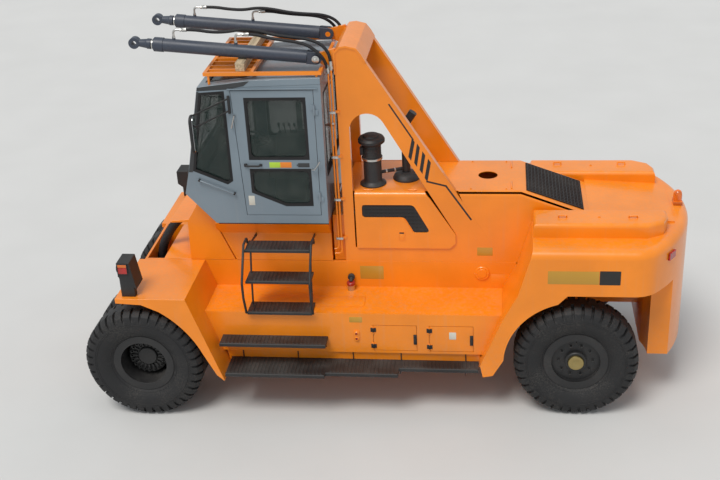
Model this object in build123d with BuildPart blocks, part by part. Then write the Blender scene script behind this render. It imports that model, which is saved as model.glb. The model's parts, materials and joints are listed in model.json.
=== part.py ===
"""Heavy counterbalance forklift truck, without its mast, in millimetres.

+X is forward, +Y is the truck's left and +Z is up. The origin is on the floor, under the
middle of the truck. Side views are drawn on planes whose zero is the front axle, so every
length along the truck below is counted from that axle: a minus sign is towards the rear.
"""
from math import cos, radians, sin, sqrt, tan
import os

from build123d import *

os.makedirs("parts", exist_ok=True)

# Running gear
tyre_diameter = 1493.0
tyre_width = 436.0
rim_seat_diameter = 636.0
rim_flange_diameter = 770.0
rim_wall = 26.0
rim_width = 320.0
rim_flange = 8.0
overall_length = 7446.5
wheelbase = 5330.0
overall_width = 3200.0
twin_spacing = 500.0
rear_track_half = 1140.0
kingpin_half = 960.0

# Clearances: of a shaft in its bore, of a piece on its seat, and of what moves past another
running_clearance = 0.1
seat_gap = 0.3
moving_gap = 6.0

tyre_radius = tyre_diameter / 2
axle_height = tyre_radius
front_axle_x = overall_length / 2 - tyre_radius
front_outer_y = overall_width / 2 - tyre_width / 2
front_inner_y = front_outer_y - twin_spacing
tail = tyre_radius - overall_length

# Heights of the body
deck_height = 1695.0
platform_height = 1330.0
box_bottom = 775.0
frame_bottom = 480.0
hood_height = 2650.0
shelf_height = 2275.0
hump_height = 2450.0
skirt_bottom = 1700.0
cab_floor = 2331.0

# Half widths of the body
body_half = 530.0
fender_half = 1590.0
box_half = 1220.0
rear_half = 1380.0
hump_half = 1000.0
hump_inner = 560.0
cab_half = 765.0

# Stations along the truck, from the front axle
fender_front = 223.0
fender_back_top = -650.0
fender_back_low = -1030.0
fender_low = 550.0
leg_top = -wheelbase + 540.0
leg_bend = (-wheelbase + 707.0, 1697.0)
leg_knee = (-wheelbase + 868.0, 1388.0)
leg_low = (-wheelbase + 1152.0, 710.0)
arch_radius = 872.0
hood_front = -2520.0
hood_back = -wheelbase + 670.0
vent_back = -wheelbase - 145.0
vent_low = 2350.0


def side_plane(y):
    """A plane along the truck at y, with the front axle as its zero and Z up."""
    return Plane(origin=(front_axle_x, y, 0), x_dir=(1, 0, 0), z_dir=(0, -1, 0))


def cross_plane(station):
    """A plane across the truck at a station: its x is the truck's Y."""
    return Plane(origin=(front_axle_x + station, 0, 0), x_dir=(0, 1, 0), z_dir=(1, 0, 0))


def plan_plane(height):
    """A level plane whose zero is the front axle."""
    return Plane(origin=(front_axle_x, 0, height))


def wheel_plane(station):
    """A plane through a wheel's axis: its x is the truck's Y and its y is the radius."""
    return Plane(origin=(front_axle_x + station, 0, axle_height), x_dir=(0, 1, 0), z_dir=(1, 0, 0))


def wheel_axis(station):
    return Axis((front_axle_x + station, 0, axle_height), (0, 1, 0))


def outline(*points):
    """A closed face through the points, added to the sketch that is open."""
    with BuildLine() as edge:
        Polyline(*points, close=True)
    make_face(edge.line)


def hole(*points):
    """A closed hole through the points, cut from the sketch that is open."""
    with BuildLine() as edge:
        Polyline(*points, close=True)
    make_face(edge.line, mode=Mode.SUBTRACT)


def patch(left, right, low, high, mode=Mode.ADD):
    """A rectangle between four limits, added to the sketch that is open or cut from it."""
    with Locations(((left + right) / 2, (low + high) / 2)):
        Rectangle(abs(right - left), abs(high - low), mode=mode)


def bar(start, end, radius):
    """A round bar from one point to another, added to the part that is open."""
    direction = Vector(*end) - Vector(*start)
    with BuildSketch(Plane(origin=start, z_dir=direction)) as section:
        Circle(radius)
    extrude(section.sketch, amount=direction.length)


def pipe(points, radius, bends):
    """A round pipe through points given from the front axle, with an arc at each corner."""
    with BuildLine() as path:
        FilletPolyline(*[(front_axle_x + station, y, z) for station, y, z in points], radius=bends)
    with BuildSketch(Plane(origin=path.line @ 0, z_dir=path.line % 0)) as section:
        Circle(radius)
    sweep(section.sketch, path=path.line)


def upright_hinge(station, y, wall, leaf, knuckle, low, high):
    """A hinge's knuckle round an upright axis with its leaf on a wall, added to the open part."""
    with BuildSketch(plan_plane(low)) as section:
        with Locations((station, y)):
            Circle(knuckle)
        patch(station, station + leaf, wall - 1, y - 2)
    extrude(section.sketch, amount=high - low)


def upright_pin(station, y, radius, low, high, mode=Mode.ADD):
    """An upright pin, added to the open part, or its bore, cut from it."""
    with BuildSketch(plan_plane(low)) as section:
        with Locations((station, y)):
            Circle(radius)
    extrude(section.sketch, amount=high - low, mode=mode)


def write(part, label):
    part.label = label
    export_step(part, f"parts/{label}.step")


def write_pair(part, name):
    """Write the left piece and its mirror image on the right."""
    write(part, f"{name}_left")
    write(mirror(part, about=Plane.XZ), f"{name}_right")


def write_both(part, name):
    """Write the left piece and its mirror image as the two solids of one node."""
    write(Compound(children=[*part.solids(), *mirror(part, about=Plane.XZ).solids()]), name)


def fender_back(height):
    """The station of the front fender's sloped rear face at a height."""
    share = (deck_height - height) / (deck_height - fender_low)
    return fender_back_top + (fender_back_low - fender_back_top) * share


def leg_front(height):
    """The station of the rear fender's sloped front face at a height under its knee."""
    share = (leg_knee[1] - height) / (leg_knee[1] - leg_low[1])
    return leg_knee[0] + (leg_low[0] - leg_knee[0]) * share


# Frame: side plates, floor and cross plates, with a spine over the steer axle and two brackets
# at the front, whose bores take the pins of the mast
frame_front = 150.0
frame_back = -wheelbase + 1030.0
frame_wall_back = -wheelbase + 720.0
frame_plate = 30.0
frame_arch = 1530.0
spine_half = 250.0
spine_low = 1000.0
spine_back = -wheelbase - 820.0
mast_pivot = (250.0, 600.0)
mast_pivot_radius = 60.0
mast_bolt_spacing = 170.0
mast_bolt_radius = 13.0
mast_bolt_depth = 70.0
mast_bracket_y = 400.0
mast_bracket_width = 90.0
mast_bracket_inner = mast_bracket_y - mast_bracket_width / 2
drive_tube_radius = 170.0
drive_bulge = ((330.0, 190.0), (150.0, 290.0))
trunnion_height = 930.0
trunnion_radius = 60.0
trunnion_bracket = 60.0
steer_beam_half = 150.0

with BuildPart() as chassis:
    with BuildSketch(side_plane(body_half)):
        patch(frame_front, frame_back, frame_bottom, deck_height)
        patch(frame_back, frame_wall_back, frame_arch, deck_height)
    extrude(amount=2 * body_half)
    with BuildSketch(side_plane(body_half - frame_plate)):
        patch(frame_front - frame_plate, frame_back + frame_plate, frame_bottom + frame_plate, deck_height + 1)
        patch(frame_back - frame_plate, frame_wall_back - 1, frame_arch - 1, deck_height + 1)
    extrude(amount=2 * (body_half - frame_plate), mode=Mode.SUBTRACT)
    with BuildSketch(side_plane(body_half - frame_plate)):
        patch(frame_front - frame_plate, -2 * drive_tube_radius, frame_bottom - 1, frame_bottom + frame_plate + 1)
    extrude(amount=2 * (body_half - frame_plate), mode=Mode.SUBTRACT)
    with BuildSketch(cross_plane(frame_front + 1)):
        patch(-mast_bracket_inner, mast_bracket_inner, frame_bottom - 1, axle_height + drive_bulge[1][1])
    extrude(amount=-frame_plate - 2, mode=Mode.SUBTRACT)
    with BuildSketch(side_plane(spine_half)):
        patch(frame_back + frame_plate, spine_back, spine_low, deck_height)
    extrude(amount=2 * spine_half)
    for side in (1, -1):
        inner = -wheelbase + side * (steer_beam_half + moving_gap)
        with BuildSketch(side_plane(2 * trunnion_radius)):
            patch(inner, inner + side * trunnion_bracket, trunnion_height - 2 * trunnion_radius, spine_low)
        extrude(amount=4 * trunnion_radius)
    with Locations(Plane(origin=(front_axle_x - wheelbase, 0, trunnion_height), z_dir=(1, 0, 0))):
        Cylinder(trunnion_radius + seat_gap, 4 * steer_beam_half, mode=Mode.SUBTRACT)
    for y in (mast_bracket_y + mast_bracket_width / 2, -mast_bracket_y + mast_bracket_width / 2):
        with BuildSketch(side_plane(y)):
            outline((-350, frame_bottom + 10), (-350, 1050), (60, 1050), (mast_pivot[0], 770),
                    (mast_pivot[0], frame_bottom))
        extrude(amount=mast_bracket_width)
    with Locations(Plane(origin=(front_axle_x + mast_pivot[0], 0, mast_pivot[1]), z_dir=(0, 1, 0))):
        Cylinder(mast_pivot_radius, 2 * body_half, mode=Mode.SUBTRACT)
    with BuildSketch(cross_plane(mast_pivot[0] + 1)):
        with Locations((0, mast_pivot[1])):
            with GridLocations(2 * mast_bracket_y, mast_bolt_spacing, 2, 2):
                Circle(mast_bolt_radius)
    extrude(amount=-mast_bolt_depth - 1, mode=Mode.SUBTRACT)
    with Locations(Plane(origin=(front_axle_x, 0, axle_height), z_dir=(0, 1, 0))):
        Cylinder(drive_tube_radius + seat_gap, 4 * body_half, mode=Mode.SUBTRACT)
write(chassis.part, "chassis")

# Drive axle: a round housing, its tubes and the spindles that the twin wheels turn on
drive_tube_half = 640.0
drive_spindle_radius = 120.0
drive_hub_radius = 190.0
drive_hub_in = 960.0
drive_hub_out = 1330.0
hub_cap = 25.0

with BuildPart() as drive_axle:
    with BuildSketch(wheel_plane(0)):
        patch(-drive_tube_half, drive_tube_half, 0, drive_tube_radius)
        patch(-drive_hub_out + 2 * hub_cap, drive_hub_out - 2 * hub_cap, 0, drive_spindle_radius)
        (wide, low_radius), (narrow, high_radius) = drive_bulge
        outline((-wide, 0), (-wide, low_radius), (-narrow, high_radius),
                (narrow, high_radius), (wide, low_radius), (wide, 0))
    revolve(axis=wheel_axis(0))
write(drive_axle.part, "drive_axle")

# Steer axle: a beam that rocks on its trunnion, with forked ends round the kingpins and the
# steering cylinder behind it
steer_end_half = 110.0
steer_beam_height = 320.0
steer_taper = (450.0, 600.0)
kingpin_radius = 45.0
knuckle_hub_radius = 85.0
fork_radius = 95.0
fork_slot = 220.0
steer_cylinder = (-265.0, 690.0)
steer_cylinder_radius = 75.0

with BuildPart() as steer_axle:
    with BuildSketch(plan_plane(axle_height - steer_beam_height / 2)):
        quarter = ((steer_beam_half, steer_taper[0]), (steer_end_half, steer_taper[1]), (fork_radius, kingpin_half))
        around = [(x, y) for x, y in quarter] + [(-x, y) for x, y in reversed(quarter)]
        around += [(-x, -y) for x, y in quarter] + [(x, -y) for x, y in reversed(quarter)]
        outline(*[(x - wheelbase, y) for x, y in around])
    extrude(amount=steer_beam_height)
    with BuildSketch(plan_plane(axle_height - steer_beam_height / 2)):
        with Locations((-wheelbase, kingpin_half), (-wheelbase, -kingpin_half)):
            Circle(fork_radius)
    extrude(amount=steer_beam_height)
    with BuildSketch(plan_plane(axle_height - fork_slot / 2)):
        for side in (1, -1):
            patch(-wheelbase - 300, -wheelbase + 300, side * (kingpin_half - fork_radius - 10),
                  side * (kingpin_half + 300))
    extrude(amount=fork_slot, mode=Mode.SUBTRACT)
    with BuildSketch(plan_plane(0)):
        with Locations((-wheelbase, kingpin_half), (-wheelbase, -kingpin_half)):
            Circle(kingpin_radius + running_clearance)
    extrude(amount=2 * axle_height, mode=Mode.SUBTRACT)
    with Locations(Plane(origin=(front_axle_x - wheelbase, 0, trunnion_height), z_dir=(1, 0, 0))):
        Cylinder(trunnion_radius, 2 * (steer_beam_half + moving_gap + trunnion_bracket))
    with BuildSketch(side_plane(100)):
        patch(-wheelbase - steer_beam_half + 1, -wheelbase + steer_cylinder[0], steer_cylinder[1] - 60,
              steer_cylinder[1] + 60)
    extrude(amount=200)
    with Locations(Plane(origin=(front_axle_x - wheelbase + steer_cylinder[0], 0, steer_cylinder[1]),
                         z_dir=(0, 1, 0))):
        Cylinder(steer_cylinder_radius, 460)
        Cylinder(steer_cylinder_radius / 2, 650)
write(steer_axle.part, "steer_axle")

# Knuckles: a hub between the fork's ears, its kingpin and the spindle of the rear wheel
rear_spindle_radius = 70.0
rear_spindle_end = rear_track_half + 120.0

with BuildPart() as knuckle:
    with BuildSketch(plan_plane(axle_height - fork_slot / 2 + 2)):
        with Locations((-wheelbase, kingpin_half)):
            Circle(knuckle_hub_radius)
    extrude(amount=fork_slot - 4)
    with BuildSketch(plan_plane(axle_height - steer_beam_height / 2 - 15)):
        with Locations((-wheelbase, kingpin_half)):
            Circle(kingpin_radius)
    extrude(amount=steer_beam_height + 30)
    with BuildSketch(wheel_plane(-wheelbase)):
        patch(kingpin_half, rear_spindle_end, 0, rear_spindle_radius)
    revolve(axis=wheel_axis(-wheelbase))
write_pair(knuckle.part, "knuckle")

# Wheels: a table of the rims that each wheel carries, with the disc and hub that join them
tyre_bead_half = rim_width / 2 - rim_flange - seat_gap
tyre_crown_half = 120.0
tyre_shoulder = (198.0, 690.0)
tyre_bulge_radius = 545.0


def rim_profile(centre):
    """The barrel of one rim and its two flanges, added to the sketch that is open."""
    seat = rim_seat_diameter / 2 - seat_gap
    patch(centre - rim_width / 2, centre + rim_width / 2, seat - rim_wall, seat)
    for side in (1, -1):
        edge = centre + side * rim_width / 2
        patch(edge, edge - side * rim_flange, seat - rim_wall, rim_flange_diameter / 2)


def tyre_profile(centre):
    """Half of a tyre's section: flat beads, bulging side walls and a low crown."""
    seat = rim_seat_diameter / 2
    flange = rim_flange_diameter / 2 + 10
    shoulder_half, shoulder_radius = tyre_shoulder
    with BuildLine() as edge:
        Polyline((centre - tyre_bead_half, flange), (centre - tyre_bead_half, seat),
                 (centre + tyre_bead_half, seat), (centre + tyre_bead_half, flange))
        ThreePointArc((centre + tyre_bead_half, flange), (centre + tyre_width / 2, tyre_bulge_radius),
                      (centre + shoulder_half, shoulder_radius))
        Line((centre + shoulder_half, shoulder_radius), (centre + tyre_crown_half + 50, tyre_radius - 14))
        ThreePointArc((centre + tyre_crown_half + 50, tyre_radius - 14), (centre, tyre_radius),
                      (centre - tyre_crown_half - 50, tyre_radius - 14))
        Line((centre - tyre_crown_half - 50, tyre_radius - 14), (centre - shoulder_half, shoulder_radius))
        ThreePointArc((centre - shoulder_half, shoulder_radius), (centre - tyre_width / 2, tyre_bulge_radius),
                      (centre - tyre_bead_half, flange))
    make_face(edge.line)


with BuildPart() as front_tyres:
    with BuildSketch(wheel_plane(0)):
        for centre in (front_outer_y, front_inner_y):
            tyre_profile(centre)
    revolve(axis=wheel_axis(0))
write_pair(front_tyres.part, "front_tyres")

with BuildPart() as rear_tyre:
    with BuildSketch(wheel_plane(-wheelbase)):
        tyre_profile(rear_track_half)
    revolve(axis=wheel_axis(-wheelbase))
write_pair(rear_tyre.part, "rear_tyre")

front_disc = (1110.0, 1150.0)
with BuildPart() as front_wheel:
    with BuildSketch(wheel_plane(0)):
        for centre in (front_outer_y, front_inner_y):
            rim_profile(centre)
        seat = rim_seat_diameter / 2 - seat_gap
        patch(front_inner_y, front_outer_y, seat - rim_wall, seat)
        patch(*front_disc, drive_hub_radius - 10, seat - 5)
        patch(drive_hub_in, drive_hub_out, drive_spindle_radius + running_clearance, drive_hub_radius)
        patch(drive_hub_out - hub_cap, drive_hub_out, 0, drive_hub_radius)
    revolve(axis=wheel_axis(0))
write_pair(front_wheel.part, "front_wheel")

rear_disc = (1215.0, 1245.0)
rear_hub_radius = 112.0
with BuildPart() as rear_wheel:
    with BuildSketch(wheel_plane(-wheelbase)):
        rim_profile(rear_track_half)
        seat = rim_seat_diameter / 2 - seat_gap
        patch(*rear_disc, rear_hub_radius - 10, seat - 5)
        patch(rear_track_half - 40, rear_spindle_end + hub_cap, rear_spindle_radius + running_clearance,
              rear_hub_radius)
        patch(rear_spindle_end + 3, rear_spindle_end + hub_cap, 0, rear_hub_radius)
        patch(rear_spindle_end, rear_spindle_end + 2 * hub_cap, 0, 60)
    revolve(axis=wheel_axis(-wheelbase))
write_pair(rear_wheel.part, "rear_wheel")

# Front fenders: a deep box over the twin wheels with a sloped rear face and a round arch
with BuildPart() as front_fender:
    with BuildSketch(side_plane(fender_half)):
        with BuildLine():
            Polyline((-790, 930), (-936, 628), (fender_back_low + 10, fender_low), (fender_back_low, fender_low),
                     (fender_back_top, deck_height), (fender_front, deck_height), (fender_front, 1630),
                     (-94, 1612), (-300, 1520))
            ThreePointArc((-300, 1520), (-590, 1262), (-790, 930))
        make_face()
    extrude(amount=fender_half - body_half - seat_gap)
write_pair(front_fender.part, "front_fender")

# Side boxes: the platform between the fenders, with two lockers in its outer face
locker_low = 815.0
locker_height = 350.0
locker_width = 530.0
locker_depth = 420.0
locker_door = 20.0
locker_hinges = (-2870.0, -3560.0)
locker_rim = 25.0
locker_knuckles = (locker_low + 60, locker_low + locker_height - 60)
knuckle_half = 30.0
knuckle_end = 15.0
knuckle_radius = 9.0
knuckle_pin = 4.0
locker_pin_y = box_half + knuckle_radius + 0.5

with BuildPart() as side_box:
    top = platform_height
    with BuildSketch(side_plane(box_half)):
        outline((fender_back(top) - seat_gap, top), (leg_front(top) + seat_gap, top),
                (leg_front(box_bottom) + seat_gap, box_bottom), (fender_back(box_bottom) - seat_gap, box_bottom))
    extrude(amount=box_half - body_half - seat_gap)
    with BuildSketch(side_plane(box_half)):
        for hinge in locker_hinges:
            patch(hinge + moving_gap, hinge - locker_width - moving_gap, locker_low - moving_gap,
                  locker_low + locker_height + moving_gap)
    extrude(amount=locker_door + 2, mode=Mode.SUBTRACT)
    with BuildSketch(side_plane(box_half)):
        for hinge in locker_hinges:
            patch(hinge - locker_rim, hinge - locker_width + locker_rim, locker_low + locker_rim,
                  locker_low + locker_height - locker_rim)
    extrude(amount=locker_depth, mode=Mode.SUBTRACT)
    for hinge in locker_hinges:
        for height in locker_knuckles:
            low, high = height - knuckle_half, height + knuckle_half
            upright_pin(hinge, locker_pin_y, knuckle_pin, low - knuckle_end, high + knuckle_end)
            upright_hinge(hinge, locker_pin_y, box_half, 30, knuckle_radius, low - knuckle_end, low - seat_gap)
            upright_hinge(hinge, locker_pin_y, box_half, 30, knuckle_radius, high + seat_gap, high + knuckle_end)
write_pair(side_box.part, "side_box")

for name, hinge in zip(("front", "rear"), locker_hinges):
    with BuildPart() as locker:
        with BuildSketch(side_plane(box_half)):
            patch(hinge, hinge - locker_width, locker_low, locker_low + locker_height)
        extrude(amount=locker_door)
        for height in locker_knuckles:
            low, high = height - knuckle_half, height + knuckle_half
            upright_hinge(hinge, locker_pin_y, box_half, -30, knuckle_radius, low, high)
            upright_pin(hinge, locker_pin_y, knuckle_pin + running_clearance, low - 1, high + 1, Mode.SUBTRACT)
    write_pair(locker.part, f"locker_door_{name}")

# Steps: a short tread on the face of each side box and a long one hung in three widths below
upper_step = (-970.0, -2300.0, 1000.0, 1450.0)
lower_step_height = 660.0
lower_step_inner = 1190.0
lower_step = ((-1045.0, -2287.0, 1600.0), (-2287.0, -3186.0, 1540.0), (-3186.0, leg_low[0] + 18.0, 1400.0))
tread_thickness = 40.0
step_hangers = (-1200.0, -1900.0, -2600.0, -3200.0, -4000.0)

with BuildPart() as steps:
    front, back, height, outer = upper_step
    with BuildSketch(plan_plane(height - tread_thickness)):
        patch(front, back, box_half + seat_gap, outer)
    extrude(amount=tread_thickness)
    for station in (front - 30, (front + back) / 2, back + 30):
        with BuildSketch(cross_plane(station)):
            outline((box_half + seat_gap, height - tread_thickness), (outer - 20, height - tread_thickness),
                    (box_half + seat_gap, height - 160))
        extrude(amount=6, both=True)
    with BuildSketch(plan_plane(lower_step_height - tread_thickness)):
        for first, last, outer in lower_step:
            patch(first, last, lower_step_inner, outer)
    extrude(amount=tread_thickness)
    for station in step_hangers:
        with BuildSketch(cross_plane(station)):
            outline((1080, box_bottom - seat_gap), (lower_step_inner + 10, box_bottom - seat_gap),
                    (lower_step_inner + 10, lower_step_height - 1), (1380, lower_step_height - tread_thickness),
                    (1380, lower_step_height - 90), (1080, lower_step_height - 90))
        extrude(amount=6, both=True)
write_both(steps.part, "steps")

# Ladder: three treads between two bent handrails
ladder_front = -1330.0
ladder_back = -2150.0
ladder_treads = ((1361.0, 1010.0, 1290.0), (1760.0, 950.0, 1230.0), (2130.0, 840.0, 1120.0))
rail_radius = 17.0
rail_route = ((1190.0, 1336.0), (1215.0, 1770.0), (1140.0, 2080.0), (745.0, 2285.0))

with BuildPart() as ladder:
    for height, inner, outer in ladder_treads:
        with BuildSketch(plan_plane(height - 30)):
            patch(ladder_front, ladder_back, inner, outer)
        extrude(amount=30)
    for station in (ladder_front + 12, ladder_back - 12):
        x = front_axle_x + station
        with BuildLine() as path:
            FilletPolyline(*[(x, y, z) for y, z in rail_route], radius=60)
        with BuildSketch(Plane(origin=path.line @ 0, z_dir=path.line % 0)):
            Circle(rail_radius)
        sweep(path=path.line)
        with BuildSketch(plan_plane(platform_height + seat_gap)):
            patch(station - 30, station + 30, rail_route[0][0] - 30, rail_route[0][0] + 30)
        extrude(amount=8)
        for (low, _, low_outer), (high, _, high_outer) in zip(ladder_treads, ladder_treads[1:]):
            bar((x, low_outer - 40, low - 15), (x, high_outer - 40, high - 15), 9)
write(ladder.part, "ladder")

# Cowl in front of the cab and the plinth that carries the cab
cowl_back = -1056.0
plinth_back = -2312.0
plinth_waist = 2085.0

with BuildPart() as cowl:
    with BuildSketch(side_plane(body_half)):
        outline((cowl_back, deck_height + seat_gap), (cowl_back + 6, plinth_waist), (-870, 2180), (-870, 2325),
                (-640, 2555), (-510, 2310), (-280, 2305), (-280, 2270), (-470, 2265), (-100, deck_height + seat_gap))
    extrude(amount=2 * body_half)
write(cowl.part, "cowl")

with BuildPart() as plinth:
    with BuildSketch(cross_plane(plinth_back)):
        outline((-body_half, deck_height + seat_gap), (body_half, deck_height + seat_gap), (body_half, plinth_waist),
                (cab_half - 5, cab_floor - 12), (cab_half - 5, cab_floor - seat_gap),
                (5 - cab_half, cab_floor - seat_gap), (5 - cab_half, cab_floor - 12), (-body_half, plinth_waist))
    extrude(amount=cowl_back - moving_gap - plinth_back)
write(plinth.part, "cab_plinth")

# Cab: a shell with its openings, a roof panel, a door and panes of glass
cab_wall = 45.0
cab_roof = 80.0
cab_front_low = (-926.0, cab_floor)
cab_nose = (-575.0, 2726.0)
glass_low = (-649.0, 3020.0)
glass_high = (-858.0, 4036.0)
roof_front = (-868.0, 4087.0)
roof_break = (-1508.0, 4166.0)
roof_rear = (-2337.0, 4188.0)
cab_rear_low = (-2328.0, cab_floor)
door_front = ((-1325.0, 2446.0), (-1264.0, 4040.0))
door_rear = -2242.0
door_thickness = 40.0
window_upper = (-1413.0, -2150.0, 3171.0, 3955.0)
window_lower = ((-1409.0, 3056.0), (-2158.0, 3056.0), (-2158.0, 2566.0), (-1821.0, 2562.0), (-1407.0, 2743.0))
front_quarter = ((-880.0, 4020.0), (-1190.0, 4040.0), (-1190.0, 2895.0), (-1120.0, 2850.0), (-700.0, 3030.0))
glass_thickness = 8.0
front_pane_half = 690.0
roof_pane = (-940.0, -1440.0, 610.0)
rear_pane = (620.0, 2900.0, 3960.0)
right_pane = (-1340.0, -2200.0, 2900.0, 3960.0)


def cab_profile():
    """The side outline of the cab under its roof panel."""
    outline(cab_rear_low, cab_front_low, cab_nose, glass_low, glass_high,
            (roof_break[0], roof_break[1] - cab_roof), (roof_rear[0], roof_rear[1] - cab_roof))


def window(plane, depth, *points):
    """Cut an opening through the open part, from a plane inwards."""
    with BuildSketch(plane) as opening:
        outline(*points)
    extrude(opening.sketch, amount=depth, mode=Mode.SUBTRACT)


def corners(left, right, low, high):
    return (left, low), (right, low), (right, high), (left, high)


front_cut = (3060.0, 4000.0)
door_knuckles = (2690.0, 3800.0)
door_knuckle_radius = 12.0
door_pin = 5.0
door_pin_x = door_rear - moving_gap / 2
door_pin_y = cab_half + door_knuckle_radius + 0.5
with BuildPart() as cab_shell:
    with BuildSketch(side_plane(cab_half)):
        cab_profile()
    extrude(amount=2 * cab_half)
    with BuildSketch(side_plane(cab_half - cab_wall)):
        cab_profile()
        offset(amount=-cab_wall, kind=Kind.INTERSECTION, mode=Mode.REPLACE)
        patch(roof_rear[0] + cab_wall, -900, 3900, 4000)
    extrude(amount=2 * (cab_half - cab_wall), mode=Mode.SUBTRACT)
    window(side_plane(cab_half + 1), cab_wall + 2, *[
        (x + grow_x, z + grow_z) for (x, z), grow_x, grow_z in (
            (door_front[0], moving_gap, -moving_gap), (door_front[1], moving_gap, moving_gap),
            ((door_rear, door_front[1][1]), -moving_gap, moving_gap), ((door_rear, door_front[0][1]), -moving_gap,
                                                                       -moving_gap))])
    window(side_plane(cab_half + 1), 2 * cab_half + 2, *front_quarter)
    window(side_plane(cab_wall - cab_half + 1), cab_wall + 2, *corners(*right_pane))
    window(cross_plane(-1000), 450, *corners(-front_pane_half, front_pane_half, *front_cut))
    window(cross_plane(roof_rear[0] - 1), cab_wall + 10, *corners(-rear_pane[0], rear_pane[0], *rear_pane[1:]))
    for height in door_knuckles:
        upright_pin(door_pin_x, door_pin_y, door_pin, height - 2 * knuckle_half, height + knuckle_half)
        upright_hinge(door_pin_x, door_pin_y, cab_half, -45, door_knuckle_radius, height - 2 * knuckle_half, height)
write(cab_shell.part, "cab_shell")

with BuildPart() as roof:
    with BuildSketch(side_plane(cab_half)):
        outline((glass_high[0], glass_high[1] + seat_gap), roof_front, roof_break, roof_rear,
                (roof_rear[0], roof_rear[1] - cab_roof + seat_gap),
                (roof_break[0], roof_break[1] - cab_roof + seat_gap))
    extrude(amount=2 * cab_half)
    window(plan_plane(3900), 400, *corners(roof_pane[0], roof_pane[1], -roof_pane[2], roof_pane[2]))
write(roof.part, "cab_roof")

with BuildPart() as cab_door:
    with BuildSketch(side_plane(cab_half)):
        outline(*door_front, (door_rear, door_front[1][1]), (door_rear, door_front[0][1]))
        for points in (corners(*window_upper), window_lower):
            hole(*points)
    extrude(amount=door_thickness)
    for height in door_knuckles:
        low, high = height + seat_gap, height + 2 * knuckle_half
        upright_hinge(door_pin_x, door_pin_y, cab_half, 45, door_knuckle_radius, low, high)
        upright_pin(door_pin_x, door_pin_y, door_pin + running_clearance, low - 1, high + 1, Mode.SUBTRACT)
write(cab_door.part, "cab_door")

with BuildPart() as door_glass:
    with BuildSketch(side_plane(cab_half - door_thickness / 2)):
        for points in (corners(*window_upper), window_lower):
            outline(*points)
        offset(amount=-seat_gap, kind=Kind.INTERSECTION, mode=Mode.REPLACE)
    extrude(amount=glass_thickness)
write(door_glass.part, "door_glass")

with BuildPart() as cab_glass:
    for y in (cab_half - cab_wall / 2, cab_wall / 2 - cab_half):
        with BuildSketch(side_plane(y)):
            outline(*front_quarter)
            offset(amount=-seat_gap, kind=Kind.INTERSECTION, mode=Mode.REPLACE)
        extrude(amount=glass_thickness)
    with BuildSketch(side_plane(cab_wall / 2 - cab_half)):
        left, right, low, high = right_pane
        patch(left - seat_gap, right + seat_gap, low + seat_gap, high - seat_gap)
    extrude(amount=glass_thickness)
    with BuildSketch(cross_plane(roof_rear[0] + cab_wall / 2)):
        patch(seat_gap - rear_pane[0], rear_pane[0] - seat_gap, rear_pane[1] + seat_gap, rear_pane[2] - seat_gap)
    extrude(amount=glass_thickness)
    slope = (glass_high[0] - glass_low[0]) / (glass_high[1] - glass_low[1])
    low, high = front_cut[0] + seat_gap, front_cut[1] - seat_gap
    with BuildSketch(side_plane(front_pane_half - seat_gap)):
        outline(*[(glass_low[0] + slope * (z - glass_low[1]) - inset, z)
                  for z, inset in ((low, 10), (high, 10), (high, 20), (low, 20))])
    extrude(amount=2 * (front_pane_half - seat_gap))
    rise = (roof_break[1] - roof_front[1]) / (roof_break[0] - roof_front[0])
    first, last = roof_pane[0] - seat_gap, roof_pane[1] + seat_gap
    with BuildSketch(side_plane(roof_pane[2] - seat_gap)):
        outline(*[(x, roof_front[1] + rise * (x - roof_front[0]) - inset)
                  for x, inset in ((first, 10), (last, 10), (last, 18), (first, 18))])
    extrude(amount=2 * (roof_pane[2] - seat_gap))
write(cab_glass.part, "cab_glass")

# Driver's seat and steering column
seat_station = -1780.0
with BuildPart() as seat:
    cab_inside = cab_floor + cab_wall + seat_gap
    with BuildSketch(side_plane(230)):
        patch(seat_station - 200, seat_station + 200, cab_inside, cab_inside + 380)
    extrude(amount=460)
    with BuildSketch(side_plane(260)):
        outline((seat_station + 260, cab_inside + 340), (seat_station + 260, cab_inside + 460),
                (seat_station - 180, cab_inside + 430), (seat_station - 280, cab_inside + 1050),
                (seat_station - 400, cab_inside + 1050), (seat_station - 290, cab_inside + 330))
    extrude(amount=520)
write(seat.part, "driver_seat")

wheel_centre = (front_axle_x - 1330.0, 0.0, 3150.0)
with BuildPart() as column:
    lean = Vector(-0.3, 0, 1).normalized()
    foot = Vector(*wheel_centre) - lean * 760
    with BuildSketch(Plane(origin=foot, z_dir=lean)):
        Rectangle(120, 140)
    extrude(amount=745)
    with Locations(Plane(origin=wheel_centre, z_dir=lean)):
        Cylinder(35, 60)
        Torus(190, 15)
        for turn in (0, 90, 180, 270):
            with Locations(Rotation(0, 0, turn)):
                with Locations((100, 0, 0)):
                    Box(190, 26, 10)
    with BuildSketch(plan_plane(cab_inside)):
        with Locations((foot.X - front_axle_x - 20, 0)):
            Rectangle(200, 200)
    extrude(amount=foot.Z - cab_inside + 60)
write(column.part, "steering_column")

# Guard of bars over the cab roof, with the timber that the tilt cylinders lie on
guard_top = 4250.0
guard_bar = 40.0
guard_half = 730.0
guard_front = -950.0
guard_back = -2350.0
guard_pitch = 146.0
guard_bars = 4
timber = (-1335.0, -1445.0)
timber_half = 690.0
guard_post = 15.0
guard_posts = (-1010.0, -2290.0)
tilt_pin = (-2270.0, 4353.5)
tilt_angle = 5.5
barrel_radius = 78.0
lift = radians(tilt_angle)
timber_top = tilt_pin[1] + (timber[1] - tilt_pin[0]) * tan(lift) - barrel_radius / cos(lift) - seat_gap

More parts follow.
